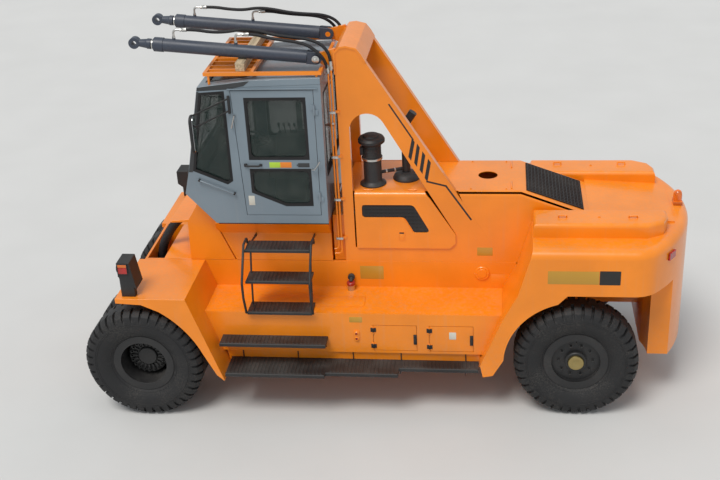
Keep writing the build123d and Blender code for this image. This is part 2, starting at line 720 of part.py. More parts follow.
with BuildPart() as guard:
    with BuildSketch(plan_plane(guard_top - guard_bar)):
        for side in (1, -1):
            patch(guard_front, guard_back, side * guard_half, side * (guard_half - guard_bar))
        for station in (guard_front, timber[1] - 60, guard_back + guard_bar):
            patch(station, station - guard_bar, -guard_half, guard_half)
        for index in range(-guard_bars, guard_bars + 1):
            end = guard_back if index == 0 else timber[1] - 60
            patch(guard_front, end, index * guard_pitch - 14, index * guard_pitch + 14)
    extrude(amount=guard_bar)
    for station in guard_posts:
        share = (station - roof_front[0]) / (roof_break[0] - roof_front[0])
        base = roof_front[1] + share * (roof_break[1] - roof_front[1]) if share < 1 else roof_rear[1]
        foot = base + guard_post * (roof_break[1] - roof_front[1]) / (roof_front[0] - roof_break[0]) + seat_gap
        for y in (guard_half - guard_bar / 2, guard_bar / 2 - guard_half):
            with BuildSketch(plan_plane(foot)):
                with Locations((station, y)):
                    Circle(guard_post)
            extrude(amount=guard_top - foot - guard_bar / 2)
write(guard.part, "roof_guard")

with BuildPart() as timber_beam:
    with BuildSketch(side_plane(timber_half)):
        patch(*timber, guard_top + seat_gap, timber_top)
    extrude(amount=2 * timber_half)
write(timber_beam.part, "timber")

# Tower behind the cab: two plates with a sloped strut, a cover, cross plates and clevises
plate_outer = 525.0
plate_inner = 430.0
tower_front = -2480.0
tower_strut = ((-2830.0, 4310.0), (-4360.0, 1870.0))
tower_opening = ((-2610.0, 1885.0), (-2610.0, 3490.0), (-2825.0, 3662.0), (-3022.0, 3542.0),
                 (-3270.0, 3107.0), (-3559.0, 2608.0), (-3864.0, 2080.0), (-3800.0, 1885.0))
tower_top = ((tower_front, 4410.0), (-2540.0, 4470.0), (-2620.0, 4480.0), (-2734.0, 4450.0), (-2788.0, 4378.0))
lug_width = 45.0
lug_radius = 60.0
tilt_half = plate_outer - lug_width / 2
tilt_pin_radius = 32.0
fork_gap = 2.0
fork_ear = 38.0
fork_width = lug_width + 2 * fork_gap + 2 * fork_ear
fork_radius_tilt = 70.0
tangent_up = (tilt_pin[0] - 20, tilt_pin[1] + lug_radius - 4)
tangent_down = (tilt_pin[0] - 20, tilt_pin[1] - lug_radius + 4)


def tower_frame(growth=0.0):
    """The side outline of one tower plate, with its opening."""
    outline((tower_front, deck_height + seat_gap), *tower_top, *tower_strut,
            (tower_strut[1][0] - 10, deck_height + seat_gap))
    hole(*tower_opening)
    if growth:
        offset(amount=growth, kind=Kind.INTERSECTION, mode=Mode.REPLACE)


with BuildPart() as tower:
    for y in (plate_outer, -plate_inner):
        with BuildSketch(side_plane(y)):
            tower_frame()
        extrude(amount=plate_outer - plate_inner)
    with BuildSketch(side_plane(plate_outer + 10)):
        outline((tower_front + 10, 4150), (tower_front + 10, 4415), (-2535, 4482), (-2620, 4492), (-2742, 4461),
                (-2799, 4384), (-2846, 4300), (-2830, 4290), (-2780, 4375), (-2730, 4440), (-2620, 4470),
                (-2545, 4458), (tower_front - 10, 4405), (tower_front - 10, 4150))
    extrude(amount=2 * (plate_outer + 10))
    with BuildSketch(cross_plane(tower_front - 12)):
        patch(-plate_inner - 1, plate_inner + 1, hood_height + 10, 2950)
    extrude(amount=12)
    for side in (1, -1):
        with BuildSketch(side_plane(side * tilt_half + lug_width / 2)):
            outline((tower_front - 10, 4200), (tower_front - 10, 4460), tangent_up, tangent_down)
            with Locations(tilt_pin):
                Circle(lug_radius)
        extrude(amount=lug_width)
        with Locations(Plane(origin=(front_axle_x + tilt_pin[0], side * tilt_half, tilt_pin[1]), z_dir=(0, 1, 0))):
            Cylinder(tilt_pin_radius, fork_width)
write(tower.part, "tower")

# Tilt cylinders: barrels that turn on the tower's pins and rods with an eye for the mast
barrel_end = 1929.0
barrel_start = 108.0
port_corners = ((-590.0, 4706.0), (-1328.0, 4641.0))
port_rise = 96.0
port_boss_radius = 20.0
port_boss = 40.0
port_reach = 122.0
port_radius = 13.0
rod_radius = 42.5
rod_reach = 2170.0
rod_eye_radius = 66.0
rod_eye_bore = 30.0
rod_eye_width = 90.0
rod_inside = 1000.0
rod_bore_start = 150.0

along = Vector(cos(lift), 0, sin(lift))
pin_point = Vector(front_axle_x + tilt_pin[0], tilt_half, tilt_pin[1])

with BuildPart() as barrel:
    with BuildSketch(Plane(origin=pin_point + along * barrel_start, z_dir=along)):
        Circle(barrel_radius)
    extrude(amount=barrel_end - barrel_start)
    with BuildSketch(Plane(origin=pin_point + along * (barrel_end - 110), z_dir=along)):
        Circle(barrel_radius + 7)
    extrude(amount=110)
    for y in (tilt_half + fork_width / 2, tilt_half - lug_width / 2 - fork_gap):
        with BuildSketch(Plane(origin=(pin_point.X, y, pin_point.Z), x_dir=along, z_dir=(0, -1, 0))):
            patch(0, barrel_start + 1, -fork_radius_tilt, fork_radius_tilt)
            Circle(fork_radius_tilt)
            Circle(tilt_pin_radius + running_clearance, mode=Mode.SUBTRACT)
        extrude(amount=fork_ear)
    for station, height in port_corners:
        with BuildSketch(plan_plane(height - port_rise)):
            with Locations((station, tilt_half)):
                Circle(port_boss_radius)
        extrude(amount=-port_boss)
    with BuildSketch(Plane(origin=pin_point + along * rod_bore_start, z_dir=along)):
        Circle(rod_radius + running_clearance)
    extrude(amount=barrel_end - rod_bore_start + 1, mode=Mode.SUBTRACT)
write_pair(barrel.part, "tilt_barrel")

with BuildPart() as tilt_rod:
    with BuildSketch(Plane(origin=pin_point + along * (barrel_end - rod_inside), z_dir=along)):
        Circle(rod_radius)
    extrude(amount=rod_reach - barrel_end + rod_inside - rod_eye_radius / 2)
    with Locations(Plane(origin=pin_point + along * rod_reach, z_dir=(0, 1, 0))):
        Cylinder(rod_eye_radius, rod_eye_width)
        Cylinder(rod_eye_bore, rod_eye_width + 2, mode=Mode.SUBTRACT)
write_pair(tilt_rod.part, "tilt_rod")

# Elbows on the barrel's two ports
with BuildPart() as ports:
    for station, height in port_corners:
        pipe([(station, tilt_half, height - port_rise + seat_gap), (station, tilt_half, height),
              (station - port_reach, tilt_half, height)], port_radius, 3 * port_radius)
write_pair(ports.part, "tilt_ports")

# Rigid oil pipes down the front edge of each tower plate, held by clamps on its outer face
pipe_radius = 12.0
pipe_y = 553.0
pipe_tops = ((-2404.5, 4177.0, 1880.0), (-2440.0, 4214.0, 1815.0))
hose_ends = ((-2398.1, 561.8, 4225.3), (-2440.0, 553.0, 4263.7))
pipe_end = -2345.0
clamp_heights = (3676.0, 3104.0, 2542.0, 2011.0)
clamp_height = 30.0
with BuildPart() as pipes:
    (station, high, low), end = pipe_tops[0], hose_ends[0]
    pipe([end, (station, pipe_y, high), (station, pipe_y, low), (pipe_end, pipe_y, low)], pipe_radius, 50)
    (station, high, low), end = pipe_tops[1], hose_ends[1]
    pipe([end, (station, pipe_y, low), (pipe_end, pipe_y, low)], pipe_radius, 50)
    for height in clamp_heights:
        with BuildSketch(plan_plane(height)):
            patch(pipe_tops[0][0] + 2 * pipe_radius, tower_front - 30, plate_outer + seat_gap, pipe_y - pipe_radius)
            patch(pipe_tops[0][0] + 18, pipe_tops[1][0] - 18, pipe_y - pipe_radius - 1, pipe_y + pipe_radius + 4)
        extrude(amount=clamp_height)
write_both(pipes.part, "tower_pipes")

# Hoses from the elbows back over the barrels and down to the pipes, each route's points in order
hose_radius = 19.0
rod_hose_left = ((-712, 502.5, 4706), (-850, 502.5, 4706), (-1040, 498, 4670), (-1230, 490, 4668),
                 (-1410, 480, 4696), (-1590, 474, 4674), (-1780, 482, 4622), (-1980, 490, 4594),
                 (-2168, 504, 4577), (-2312, 530, 4536), (-2396, 548, 4464), (-2440, 553, 4369),
                 (-2440, 553, 4264))
base_hose_left = ((-1450, 502.5, 4641), (-1560, 502.5, 4641), (-1700, 522, 4604), (-1860, 536, 4578),
                  (-2030, 552, 4560), (-2170, 574, 4530), (-2270, 590, 4470), (-2343, 594, 4394),
                  (-2386, 578, 4316), (-2398, 562, 4226))
rod_hose_right = ((-712, -502.5, 4706), (-850, -502.5, 4706), (-1030, -499, 4676), (-1220, -491, 4664),
                  (-1400, -481, 4692), (-1590, -474, 4674), (-1790, -483, 4626), (-1990, -491, 4602),
                  (-2180, -506, 4588), (-2316, -531, 4540), (-2398, -548, 4466), (-2440, -553, 4369),
                  (-2440, -553, 4264))
base_hose_right = ((-1450, -502.5, 4641), (-1560, -502.5, 4641), (-1700, -521, 4610), (-1870, -537, 4584),
                   (-2040, -554, 4568), (-2180, -576, 4538), (-2282, -592, 4478), (-2350, -594, 4396),
                   (-2386, -578, 4316), (-2398, -562, 4226))


def route_radii(points):
    """For each corner of a route, the largest radius that its two runs allow."""
    runs = [Vector(*after) - Vector(*before) for before, after in zip(points, points[1:])]
    return [0.45 * min(first.length, second.length) / tan(radians(first.get_angle(second)) / 2)
            for first, second in zip(runs, runs[1:])]


for name, route in (("rod_hose_left", rod_hose_left), ("base_hose_left", base_hose_left),
                    ("rod_hose_right", rod_hose_right), ("base_hose_right", base_hose_right)):
    radii = route_radii(route)
    print(name, "radii", [round(radius) for radius in radii])
    with BuildPart() as hose:
        pipe(route, hose_radius, radii)
    write(hose.part, name)

# Engine: one heavy block between the side plates, under the hood
engine = (-2780.0, -4080.0, 1000.0, 2250.0)
engine_half = 350.0
with BuildPart() as engine_block:
    with BuildSketch(side_plane(engine_half)):
        patch(*engine)
    extrude(amount=2 * engine_half)
    mount_half = body_half - frame_plate - seat_gap
    with BuildSketch(side_plane(mount_half)):
        for station in (engine[0] - 200, engine[1] + 200):
            patch(station - 60, station + 60, 1150, 1250)
    extrude(amount=2 * mount_half)
write(engine_block.part, "engine_block")

# Hood: bent sheet over the engine, cut round the tower, with a sloped vent at its rear
hood_sheet = 10.0
hood_bend = 65.0
hood_seam = -4559.0
hood_half = 525.0
cover_bend = 65.0
cover_outer = 548.0
cover_sheet = 20.0
hood_edge = cover_outer - cover_bend - moving_gap
cover_knuckles = (-2800.0, -3340.0)
cover_knuckle_half = 40.0
cover_knuckle_radius = 8.0
cover_pin = 4.0
cover_pin_y = hood_edge + moving_gap / 2
cover_pin_z = hood_height + cover_knuckle_radius + 0.5
hood_cap = (-4252.0, 0.0, 120.0)


def level_hinge(y, wall, leaf, front, back):
    """A knuckle round the cover's axis with its leaf on the hood or cover, added to the open part."""
    with BuildSketch(cross_plane(back)) as section:
        with Locations((y, cover_pin_z)):
            Circle(cover_knuckle_radius)
        patch(y, y + leaf, wall - 4, cover_pin_z - 2)
    extrude(section.sketch, amount=front - back)


def level_pin(y, radius, front, back, mode=Mode.ADD):
    """A pin along the cover's axis, added to the open part, or its bore, cut from it."""
    with BuildSketch(cross_plane(back)) as section:
        with Locations((y, cover_pin_z)):
            Circle(radius)
    extrude(section.sketch, amount=front - back, mode=mode)


def hood_outline(inset):
    outline((hood_front - inset, deck_height + seat_gap), (hood_front - inset, hood_height - inset),
            (hood_back, hood_height - inset), (vent_back + inset, vent_low - inset),
            (vent_back + inset, deck_height + seat_gap))


with BuildPart() as hood:
    with BuildSketch(side_plane(hood_half)):
        hood_outline(0)
    extrude(amount=2 * hood_half)
    top_edges = hood.edges().filter_by(Axis.X).group_by(Axis.Z)[-1]
    slope_edges = [edge for edge in hood.edges() if abs(edge.center().Y) > hood_half - 1
                   and edge.center().Z > vent_low and edge.center().X < front_axle_x + hood_back - 10]
    fillet(top_edges + slope_edges, hood_bend)
    with BuildSketch(side_plane(hood_half - hood_sheet)):
        hood_outline(hood_sheet)
        patch(hood_front - 20, hood_back + 1, deck_height, deck_height + 40)
    extrude(amount=2 * (hood_half - hood_sheet), mode=Mode.SUBTRACT)
    for y, inner in ((hood_half + 1, hood_edge), (-hood_edge, -hood_half - 1)):
        with BuildSketch(side_plane(y)):
            outline((tower_front, 0), (tower_front, hood_height + 1), (-3900, hood_height + 1),
                    (tower_strut[1][0] + 110, 1800), (tower_strut[1][0] + 110, 0))
        extrude(amount=y - inner, mode=Mode.SUBTRACT)
    for y in (hood_half + 1, -plate_inner + moving_gap):
        with BuildSketch(side_plane(y)):
            tower_frame(seat_gap)
        extrude(amount=hood_half + 1 - plate_inner + moving_gap, mode=Mode.SUBTRACT)
    with BuildSketch(plan_plane(hood_height - 2 * hood_sheet)):
        with Locations(hood_cap[:2]):
            Circle(hood_cap[2])
    extrude(amount=4 * hood_sheet, mode=Mode.SUBTRACT)
    for side in (1, -1):
        for station in cover_knuckles:
            front, back = station + cover_knuckle_half, station - cover_knuckle_half
            level_pin(side * cover_pin_y, cover_pin, front + knuckle_end, back - knuckle_end)
            level_hinge(side * cover_pin_y, hood_height, -side * 40, front + knuckle_end, front + seat_gap)
            level_hinge(side * cover_pin_y, hood_height, -side * 40, back - seat_gap, back - knuckle_end)
write(hood.part, "hood")

# Engine access covers: a side panel bent over the hood's edge, hinged along its top
cover_front = -2632.0
cover_low = 1890.0
cover_window = ((-2720.0, 2480.0), (-3330.0, 2480.0), (-3520.0, 2150.0), (-3480.0, 2110.0), (-3340.0, 2110.0),
                (-3230.0, 2300.0), (-2740.0, 2320.0))
with BuildPart() as cover:
    with BuildSketch(cross_plane(-3900)):
        with BuildLine() as bend:
            Line((cover_outer, cover_low), (cover_outer, hood_height - cover_bend))
            ThreePointArc((cover_outer, hood_height - cover_bend),
                          (cover_outer - cover_bend * (1 - sqrt(0.5)), hood_height - cover_bend * (1 - sqrt(0.5))),
                          (cover_outer - cover_bend, hood_height))
            Line((cover_outer - cover_bend, hood_height), (cover_outer - cover_bend, hood_height - cover_sheet))
            inner_bend = cover_bend - cover_sheet
            ThreePointArc((cover_outer - cover_bend, hood_height - cover_sheet),
                          (cover_outer - cover_sheet - inner_bend * (1 - sqrt(0.5)),
                           hood_height - cover_sheet - inner_bend * (1 - sqrt(0.5))),
                          (cover_outer - cover_sheet, hood_height - cover_bend))
            Line((cover_outer - cover_sheet, hood_height - cover_bend), (cover_outer - cover_sheet, cover_low))
            Line((cover_outer - cover_sheet, cover_low), (cover_outer, cover_low))
        make_face()
    extrude(amount=3900 + cover_front)
    with BuildSketch(side_plane(cover_outer + 1)):
        outline((cover_front, cover_low), (cover_front, hood_height + 1), (-3485, hood_height + 1),
                (-3560, 2560), (-3864, 2080), (-3864, 1960), (-3790, cover_low))
    extrude(amount=200, mode=Mode.INTERSECT)
    with BuildSketch(side_plane(cover_outer - cover_sheet / 2)):
        outline(*cover_window)
    extrude(amount=-cover_sheet, mode=Mode.SUBTRACT)
    for station in cover_knuckles:
        front, back = station + cover_knuckle_half, station - cover_knuckle_half
        level_hinge(cover_pin_y, hood_height, 30, front, back)
        level_pin(cover_pin_y, cover_pin + running_clearance, front + 1, back - 1, Mode.SUBTRACT)
write_pair(cover.part, "access_cover")

# Mesh over the sloped vent
vent_half = 425.0
vent_margin = 60.0
with BuildPart() as vent_mesh:
    fall = (vent_low - hood_height) / (vent_back - hood_back)
    with BuildSketch(side_plane(vent_half)):
        outline(*[(x, hood_height + fall * (x - hood_back) + rise) for x, rise in (
            (hood_back - vent_margin, 1), (vent_back + vent_margin, 1), (vent_back + vent_margin, 9),
            (hood_back - vent_margin, 9))])
    extrude(amount=2 * vent_half)
write(vent_mesh.part, "vent_mesh")

# Rear body: the counterweight with its shelf, humps and deck, and the legs in front of the wheels
tail_radius = 1900.0
tail_corner = 350.0
shelf_round = 110.0
hump_round = 50.0
hump_back = tail + 329.0
deck_fall = ((vent_back - 2 * seat_gap, vent_low), (tail + 220.0, 2290.0))
block_half = 930.0
block_low = 660.0
block_front = spine_back - seat_gap
swing_radius = 885.0
leg_tip = (-wheelbase + 1118.0, 549.0)
arch_low = (-wheelbase + 998.0, 573.0)
side_join = -wheelbase
arch_lead = 240.0
tow_pockets = ((860.0, 960.0, 130.0), (1080.0, 1440.0, 90.0))
tow_pin_inset = 110.0
tow_pin_radius = 25.0


def tail_outline(half):
    """The counterweight's plan: straight sides, a round tail and round corners."""
    corner = tail + tail_radius - sqrt(tail_radius ** 2 - half ** 2)
    with BuildLine() as edge:
        Polyline((corner, half), (side_join, half), (side_join, -half), (corner, -half))
        ThreePointArc((corner, -half), (tail, 0), (corner, half))
    make_face(edge.line)


with BuildPart() as hump:
    with BuildSketch(plan_plane(shelf_height - 1)):
        outline((leg_top - 8, hump_inner), (leg_top - 8, hump_half), (hump_back + 250, hump_half),
                (hump_back + 60, hump_half - 110), (hump_back, hump_half - 260), (hump_back, hump_inner))
    extrude(amount=hump_height - shelf_height + 1)
    fillet(hump.edges().group_by(Axis.Z)[-1], hump_round)

with BuildPart() as rear_body:
    with BuildSketch(plan_plane(skirt_bottom)):
        tail_outline(rear_half)
    extrude(amount=shelf_height - skirt_bottom)
    fillet(rear_body.edges().filter_by(Axis.Z).group_by(Axis.X)[0], tail_corner)
    arch_top = (-wheelbase + arch_lead, axle_height + sqrt(arch_radius ** 2 - arch_lead ** 2))
    arch_side = (-wheelbase + arch_radius * cos(radians(3)), axle_height + arch_radius * sin(radians(3)))
    arch_middle = (-wheelbase + arch_radius * cos(radians(40)), axle_height + arch_radius * sin(radians(40)))
    with BuildSketch(side_plane(rear_half)):
        with BuildLine():
            Polyline(arch_top, (-wheelbase + arch_lead - 110, skirt_bottom), (side_join, skirt_bottom),
                     (side_join, shelf_height), (leg_top, shelf_height), leg_bend, leg_knee, leg_low, leg_tip,
                     arch_low, arch_side)
            ThreePointArc(arch_side, arch_middle, arch_top)
        make_face()
    extrude(amount=2 * rear_half)
    rim = [edge for edge in rear_body.edges().group_by(Axis.Z)[-1]
           if edge.center().X < front_axle_x + leg_top - 1 and (abs(edge.center().Y) > 1200 or edge.length > 1500)]
    fillet(rim, shelf_round)
    with BuildSketch(plan_plane(0)):
        patch(leg_top + 2000, vent_back - seat_gap, -body_half - seat_gap, body_half + seat_gap)
    extrude(amount=4000, mode=Mode.SUBTRACT)
    with BuildSketch(side_plane(hump_inner + 1)):
        outline((deck_fall[0][0], shelf_height - 1), deck_fall[0], deck_fall[1], (deck_fall[1][0], shelf_height - 1))
    extrude(amount=2 * hump_inner + 2)
    with BuildSketch(plan_plane(block_low)):
        tail_outline(block_half)
        patch(side_join, block_front, -block_half, block_half, mode=Mode.SUBTRACT)
        with Locations((-wheelbase, kingpin_half), (-wheelbase, -kingpin_half)):
            Circle(swing_radius, mode=Mode.SUBTRACT)
    extrude(amount=skirt_bottom - block_low + 1)
    for low, high, half in tow_pockets:
        with BuildSketch(plan_plane(low)):
            patch(tail - 1, tail + 2 * tow_pin_inset, -half, half)
        extrude(amount=high - low, mode=Mode.SUBTRACT)
    with BuildSketch(plan_plane(block_low - 1)):
        with Locations((tail + tow_pin_inset, 0)):
            Circle(tow_pin_radius)
    extrude(amount=tow_pockets[1][0] - block_low + 2, mode=Mode.SUBTRACT)
    add(hump.part)
    add(mirror(hump.part, about=Plane.XZ))
write(rear_body.part, "rear_body")

# Air pre-cleaner and exhaust on the hood
cleaner_place = (-2845.0, 260.0)
cleaner_rings = ((0, 25, 150), (24, 60, 95), (59, 200, 80), (199, 240, 120), (239, 520, 150), (519, 560, 120))
exhaust_place = (-3240.0, 70.0)
exhaust_rings = ((0, 20, 140), (19, 60, 110), (59, 720, 55))
for name, place, rings in (("pre_cleaner", cleaner_place, cleaner_rings), ("exhaust", exhaust_place, exhaust_rings)):
    with BuildPart() as stack:
        for low, high, radius in rings:
            with BuildSketch(plan_plane(hood_height + seat_gap + low)):
                with Locations(place):
                    Circle(radius)
            extrude(amount=high - low)
    write(stack.part, name)

# Lamps at the front, the rear and on the tail, and the mirrors
lamp_place = (130.0, 1290.0)
with BuildPart() as front_lamp:
    with BuildSketch(plan_plane(deck_height + seat_gap)):
        with Locations(lamp_place):
            Rectangle(90, 160)
    extrude(amount=190)
    with BuildSketch(plan_plane(deck_height + 180)):
        with Locations((lamp_place[0] + 10, lamp_place[1])):
            Rectangle(170, 200)
    extrude(amount=280)
write_both(front_lamp.part, "front_lamps")

tail_lamp_angle = 33.0
with BuildPart() as tail_lamp:
    turn = radians(tail_lamp_angle)
    normal = Vector(-cos(turn), sin(turn), 0)
    face = Vector(front_axle_x + tail + tail_radius, 0, 2085) + normal * (tail_radius + seat_gap)
    with BuildSketch(Plane(origin=face, x_dir=(0, 0, 1), z_dir=normal)):
        Rectangle(90, 150)
    extrude(amount=25)
write_both(tail_lamp.part, "tail_lamps")

beacon_station = tail + 120.0
with BuildPart() as beacon:
    with BuildSketch(plan_plane(shelf_height + seat_gap)):
        with Locations((beacon_station, 0)):
            Rectangle(110, 160)
    extrude(amount=60)
    with BuildSketch(plan_plane(shelf_height + 60)):
        with Locations((beacon_station, 0)):
            Circle(55)
    extrude(amount=120)
write(beacon.part, "beacon")

mirror_place = (-860.0, 1090.0)
with BuildPart() as cab_mirror:
    with BuildSketch(plan_plane(3390)):
        with Locations(mirror_place):
            Rectangle(40, 190)
    extrude(amount=480)
    for height in (3800, 3950):
        bar((front_axle_x - 1230, cab_half + 8, height),
            (front_axle_x + mirror_place[0] - 5, mirror_place[1] - 20, height - 100), 10)
write_both(cab_mirror.part, "mirrors")
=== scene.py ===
"""Heavy forklift truck without its mast: the dressed model, its light and its camera.

Lengths are in metres. +X is the truck's front, +Y its left and Z is up, with the floor at 0.
A station is a distance along the truck from the front axle; a minus sign is towards the rear.
"""
import json
from math import cos, pi, radians, sin, sqrt

import bmesh
import bpy
import numpy as np
from bpy.props import FloatProperty, FloatVectorProperty, IntProperty
from mathutils import Matrix, Vector


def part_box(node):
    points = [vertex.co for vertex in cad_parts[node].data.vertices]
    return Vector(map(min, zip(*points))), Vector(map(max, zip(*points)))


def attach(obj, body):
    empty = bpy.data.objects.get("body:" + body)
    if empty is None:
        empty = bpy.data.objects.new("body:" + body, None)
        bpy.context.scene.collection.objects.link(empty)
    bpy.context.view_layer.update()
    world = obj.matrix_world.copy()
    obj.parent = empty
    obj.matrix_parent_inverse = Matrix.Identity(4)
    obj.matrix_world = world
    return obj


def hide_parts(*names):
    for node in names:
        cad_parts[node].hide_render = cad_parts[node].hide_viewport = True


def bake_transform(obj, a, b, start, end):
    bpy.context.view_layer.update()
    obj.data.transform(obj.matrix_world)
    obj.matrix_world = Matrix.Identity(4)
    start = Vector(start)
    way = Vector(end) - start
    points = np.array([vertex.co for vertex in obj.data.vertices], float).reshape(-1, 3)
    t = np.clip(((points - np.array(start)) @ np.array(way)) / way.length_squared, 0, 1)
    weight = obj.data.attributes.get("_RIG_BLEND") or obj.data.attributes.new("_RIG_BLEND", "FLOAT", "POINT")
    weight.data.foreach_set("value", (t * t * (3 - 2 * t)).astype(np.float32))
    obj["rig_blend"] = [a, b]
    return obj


bl_info = {
    "name": "Heavy forklift truck",
    "version": (1, 0, 0),
    "blender": (4, 5, 0),
    "location": "View3D > Sidebar > Truck",
    "description": "Dresses the packed solids of a heavy forklift truck",
    "category": "Object",
}

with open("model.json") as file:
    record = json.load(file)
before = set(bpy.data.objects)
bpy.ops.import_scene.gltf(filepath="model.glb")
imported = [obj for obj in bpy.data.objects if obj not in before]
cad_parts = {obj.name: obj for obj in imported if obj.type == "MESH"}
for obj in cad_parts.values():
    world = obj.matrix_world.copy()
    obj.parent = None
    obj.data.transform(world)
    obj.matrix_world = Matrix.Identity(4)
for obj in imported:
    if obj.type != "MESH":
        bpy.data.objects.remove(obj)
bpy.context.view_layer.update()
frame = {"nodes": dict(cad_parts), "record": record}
BODY_OF = {node: body for body, members in frame["record"]["behaviour"]["bodies"].items() for node in members}
SLOT_OF = {row["node"]: row["material_slot"] for row in frame["record"]["subparts"]}
AXLE = (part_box("front_tyres_left")[0].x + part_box("front_tyres_left")[1].x) / 2
REAR_AXLE = (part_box("rear_tyre_left")[0].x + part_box("rear_tyre_left")[1].x) / 2
AXLE_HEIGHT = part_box("front_tyres_left")[1].z / 2
SIDES = (("left", 1), ("right", -1))
LEFT = (0, 1, 0)
UP = (0, 0, 1)


# Surfaces: each returns its points and its faces

def at(station, y, z):
    """A point given by its station, in the row frame."""
    return (AXLE + station, y, z)


def grid_faces(rows, columns, close_rows, close_columns):
    """The quads between neighbours of a grid; a closed direction joins its last line to its first."""
    r, c = np.meshgrid(np.arange(rows if close_rows else rows - 1),
                       np.arange(columns if close_columns else columns - 1), indexing="ij")
    r2, c2 = (r + 1) % rows, (c + 1) % columns
    corners = (r * columns + c, r * columns + c2, r2 * columns + c2, r2 * columns + c)
    return np.stack(corners, -1).reshape(-1, 4)


def surface(grid, close_rows=False, close_columns=False, caps=False):
    """A grid of points as a surface, with its first and last rows closed by flat caps if asked."""
    rows, columns = grid.shape[:2]
    faces = grid_faces(rows, columns, close_rows, close_columns).tolist()
    if caps:
        faces += [list(range(columns))[::-1], list(range((rows - 1) * columns, rows * columns))]
    return grid.reshape(-1, 3), faces


def join(*parts):
    """Several surfaces as one."""
    points, faces, count = [], [], 0
    for some, more in parts:
        points.append(some)
        faces += [[index + count for index in face] for face in more]
        count += len(some)
    return np.concatenate(points), faces


def axes_of(axis):
    """Three unit vectors, the first along the axis."""
    a = np.array(axis, float)
    a /= np.linalg.norm(a)
    other = np.array((0.0, 0.0, 1.0)) if abs(a[2]) < 0.9 else np.array((1.0, 0.0, 0.0))
    u = np.cross(other, a)
    u /= np.linalg.norm(u)
    return a, u, np.cross(a, u)


def lathe(profile, centre, axis, sides=48):
    """A profile of (distance along the axis, radius) turned round it:
    centre + distance * axis + radius * (cos t * u + sin t * v)."""
    a, u, v = axes_of(axis)
    profile = np.array(profile, float)
    t = np.linspace(0, 2 * pi, sides, endpoint=False)
    ring = np.cos(t)[:, None] * u + np.sin(t)[:, None] * v
    grid = np.array(centre) + profile[:, :1, None] * a + profile[:, 1:, None] * ring[None]
    return surface(grid, close_columns=True)


def torus(centre, axis, large, small, sides=32, around=10):
    """A ring: the small circle carried round the large one."""
    t = np.linspace(0, 2 * pi, around + 1)
    return lathe(np.stack([small * np.sin(t), large + small * np.cos(t)], -1), centre, axis, sides)


def carry(section, path, up, closed=False, scale=1.0, caps=True):
    """A closed section of (side, up) offsets carried along a path; side is the path's direction
    crossed with up, lengthened at each corner so that the walls stay parallel."""
    path = np.array(path, float)
    section = np.array(section, float)
    if closed:
        before, after = path - np.roll(path, 1, 0), np.roll(path, -1, 0) - path
    else:
        steps = np.diff(path, axis=0)
        before, after = np.concatenate([steps[:1], steps]), np.concatenate([steps, steps[-1:]])
    before /= np.linalg.norm(before, axis=1)[:, None]
    after /= np.linalg.norm(after, axis=1)[:, None]
    along = before + after
    length = np.linalg.norm(along, axis=1)
    along /= length[:, None]
    up = np.broadcast_to(np.array(up, float), path.shape)
    side = np.cross(along, up)
    side /= np.linalg.norm(side, axis=1)[:, None]
    rise = np.cross(side, along)
    grow = np.broadcast_to(np.array(scale, float), len(path))[:, None, None]
    mitre = (2 / length)[:, None, None]
    flat = np.abs(np.sum(np.cross(before, after) * up, axis=1))[:, None, None] > 1e-9
    stretch = np.where(flat, mitre, 1.0)
    grid = path[:, None] + grow * (section[None, :, :1] * side[:, None] * stretch
                                   + section[None, :, 1:] * rise[:, None] * np.where(flat, 1.0, mitre))
    return surface(grid, close_rows=closed, close_columns=True, caps=caps and not closed)


def circle(radius, sides=12):
    """A section: points round a circle."""
    t = np.linspace(0, 2 * pi, sides, endpoint=False)
    return np.stack([radius * np.cos(t), radius * np.sin(t)], -1)


def tube(path, radius, up=(0, 1, 0), sides=12, scale=1.0, closed=False):
    """A round tube along a path."""
    return carry(circle(radius, sides), path, up, closed, scale)


def rod(start, end, radius, sides=12, round_end=0.0):
    """A round bar between two points, its rims rounded by round_end."""
    start, end = np.array(start, float), np.array(end, float)
    length = np.linalg.norm(end - start)
    r = round_end
    profile = [(0, 0), (0, radius - r), (r * 0.3, radius - r * 0.3), (r, radius), (length - r, radius),
               (length - r * 0.3, radius - r * 0.3), (length, radius - r), (length, 0)]
    if not r:
        profile = [(0, 0), (0, radius), (length, radius), (length, 0)]
    return lathe(profile, start, end - start, sides)


def block(low, high, r=0.004, steps=2):
    """A box with round edges: the box pulled in by r, with r times the normal of a sphere added."""
    low, high = np.minimum(low, high).astype(float), np.maximum(low, high).astype(float)
    centre, half = (low + high) / 2, (high - low) / 2
    r = min(r, half.min() * 0.98)
    quarter = np.linspace(0, pi / 2, steps + 1)
    t = np.concatenate([quarter + pi / 2 * turn for turn in range(4)])
    corner = np.concatenate([np.full(steps + 1, turn) for turn in range(4)])
    p = np.concatenate([quarter - pi / 2, quarter])
    lower = np.concatenate([np.full(steps + 1, -1.0), np.full(steps + 1, 1.0)])
    signs = np.array(((1, 1), (-1, 1), (-1, -1), (1, -1)))[corner]
    normal = np.stack([np.cos(p)[:, None] * np.cos(t), np.cos(p)[:, None] * np.sin(t),
                       np.sin(p)[:, None] * np.ones_like(t)], -1)
    sign = np.stack([np.broadcast_to(part, normal.shape[:2]) for part in (*signs.T, lower[:, None])], -1)
    return surface(centre + sign * (half - r) + r * normal, close_columns=True, caps=True)


def slab(stations, sides, heights, r=0.004, steps=2):
    """A box with round edges, given by its two stations, its two Y and its two heights."""
    low, high = zip(stations, sides, heights)
    return block(at(*low), at(*high), r, steps)


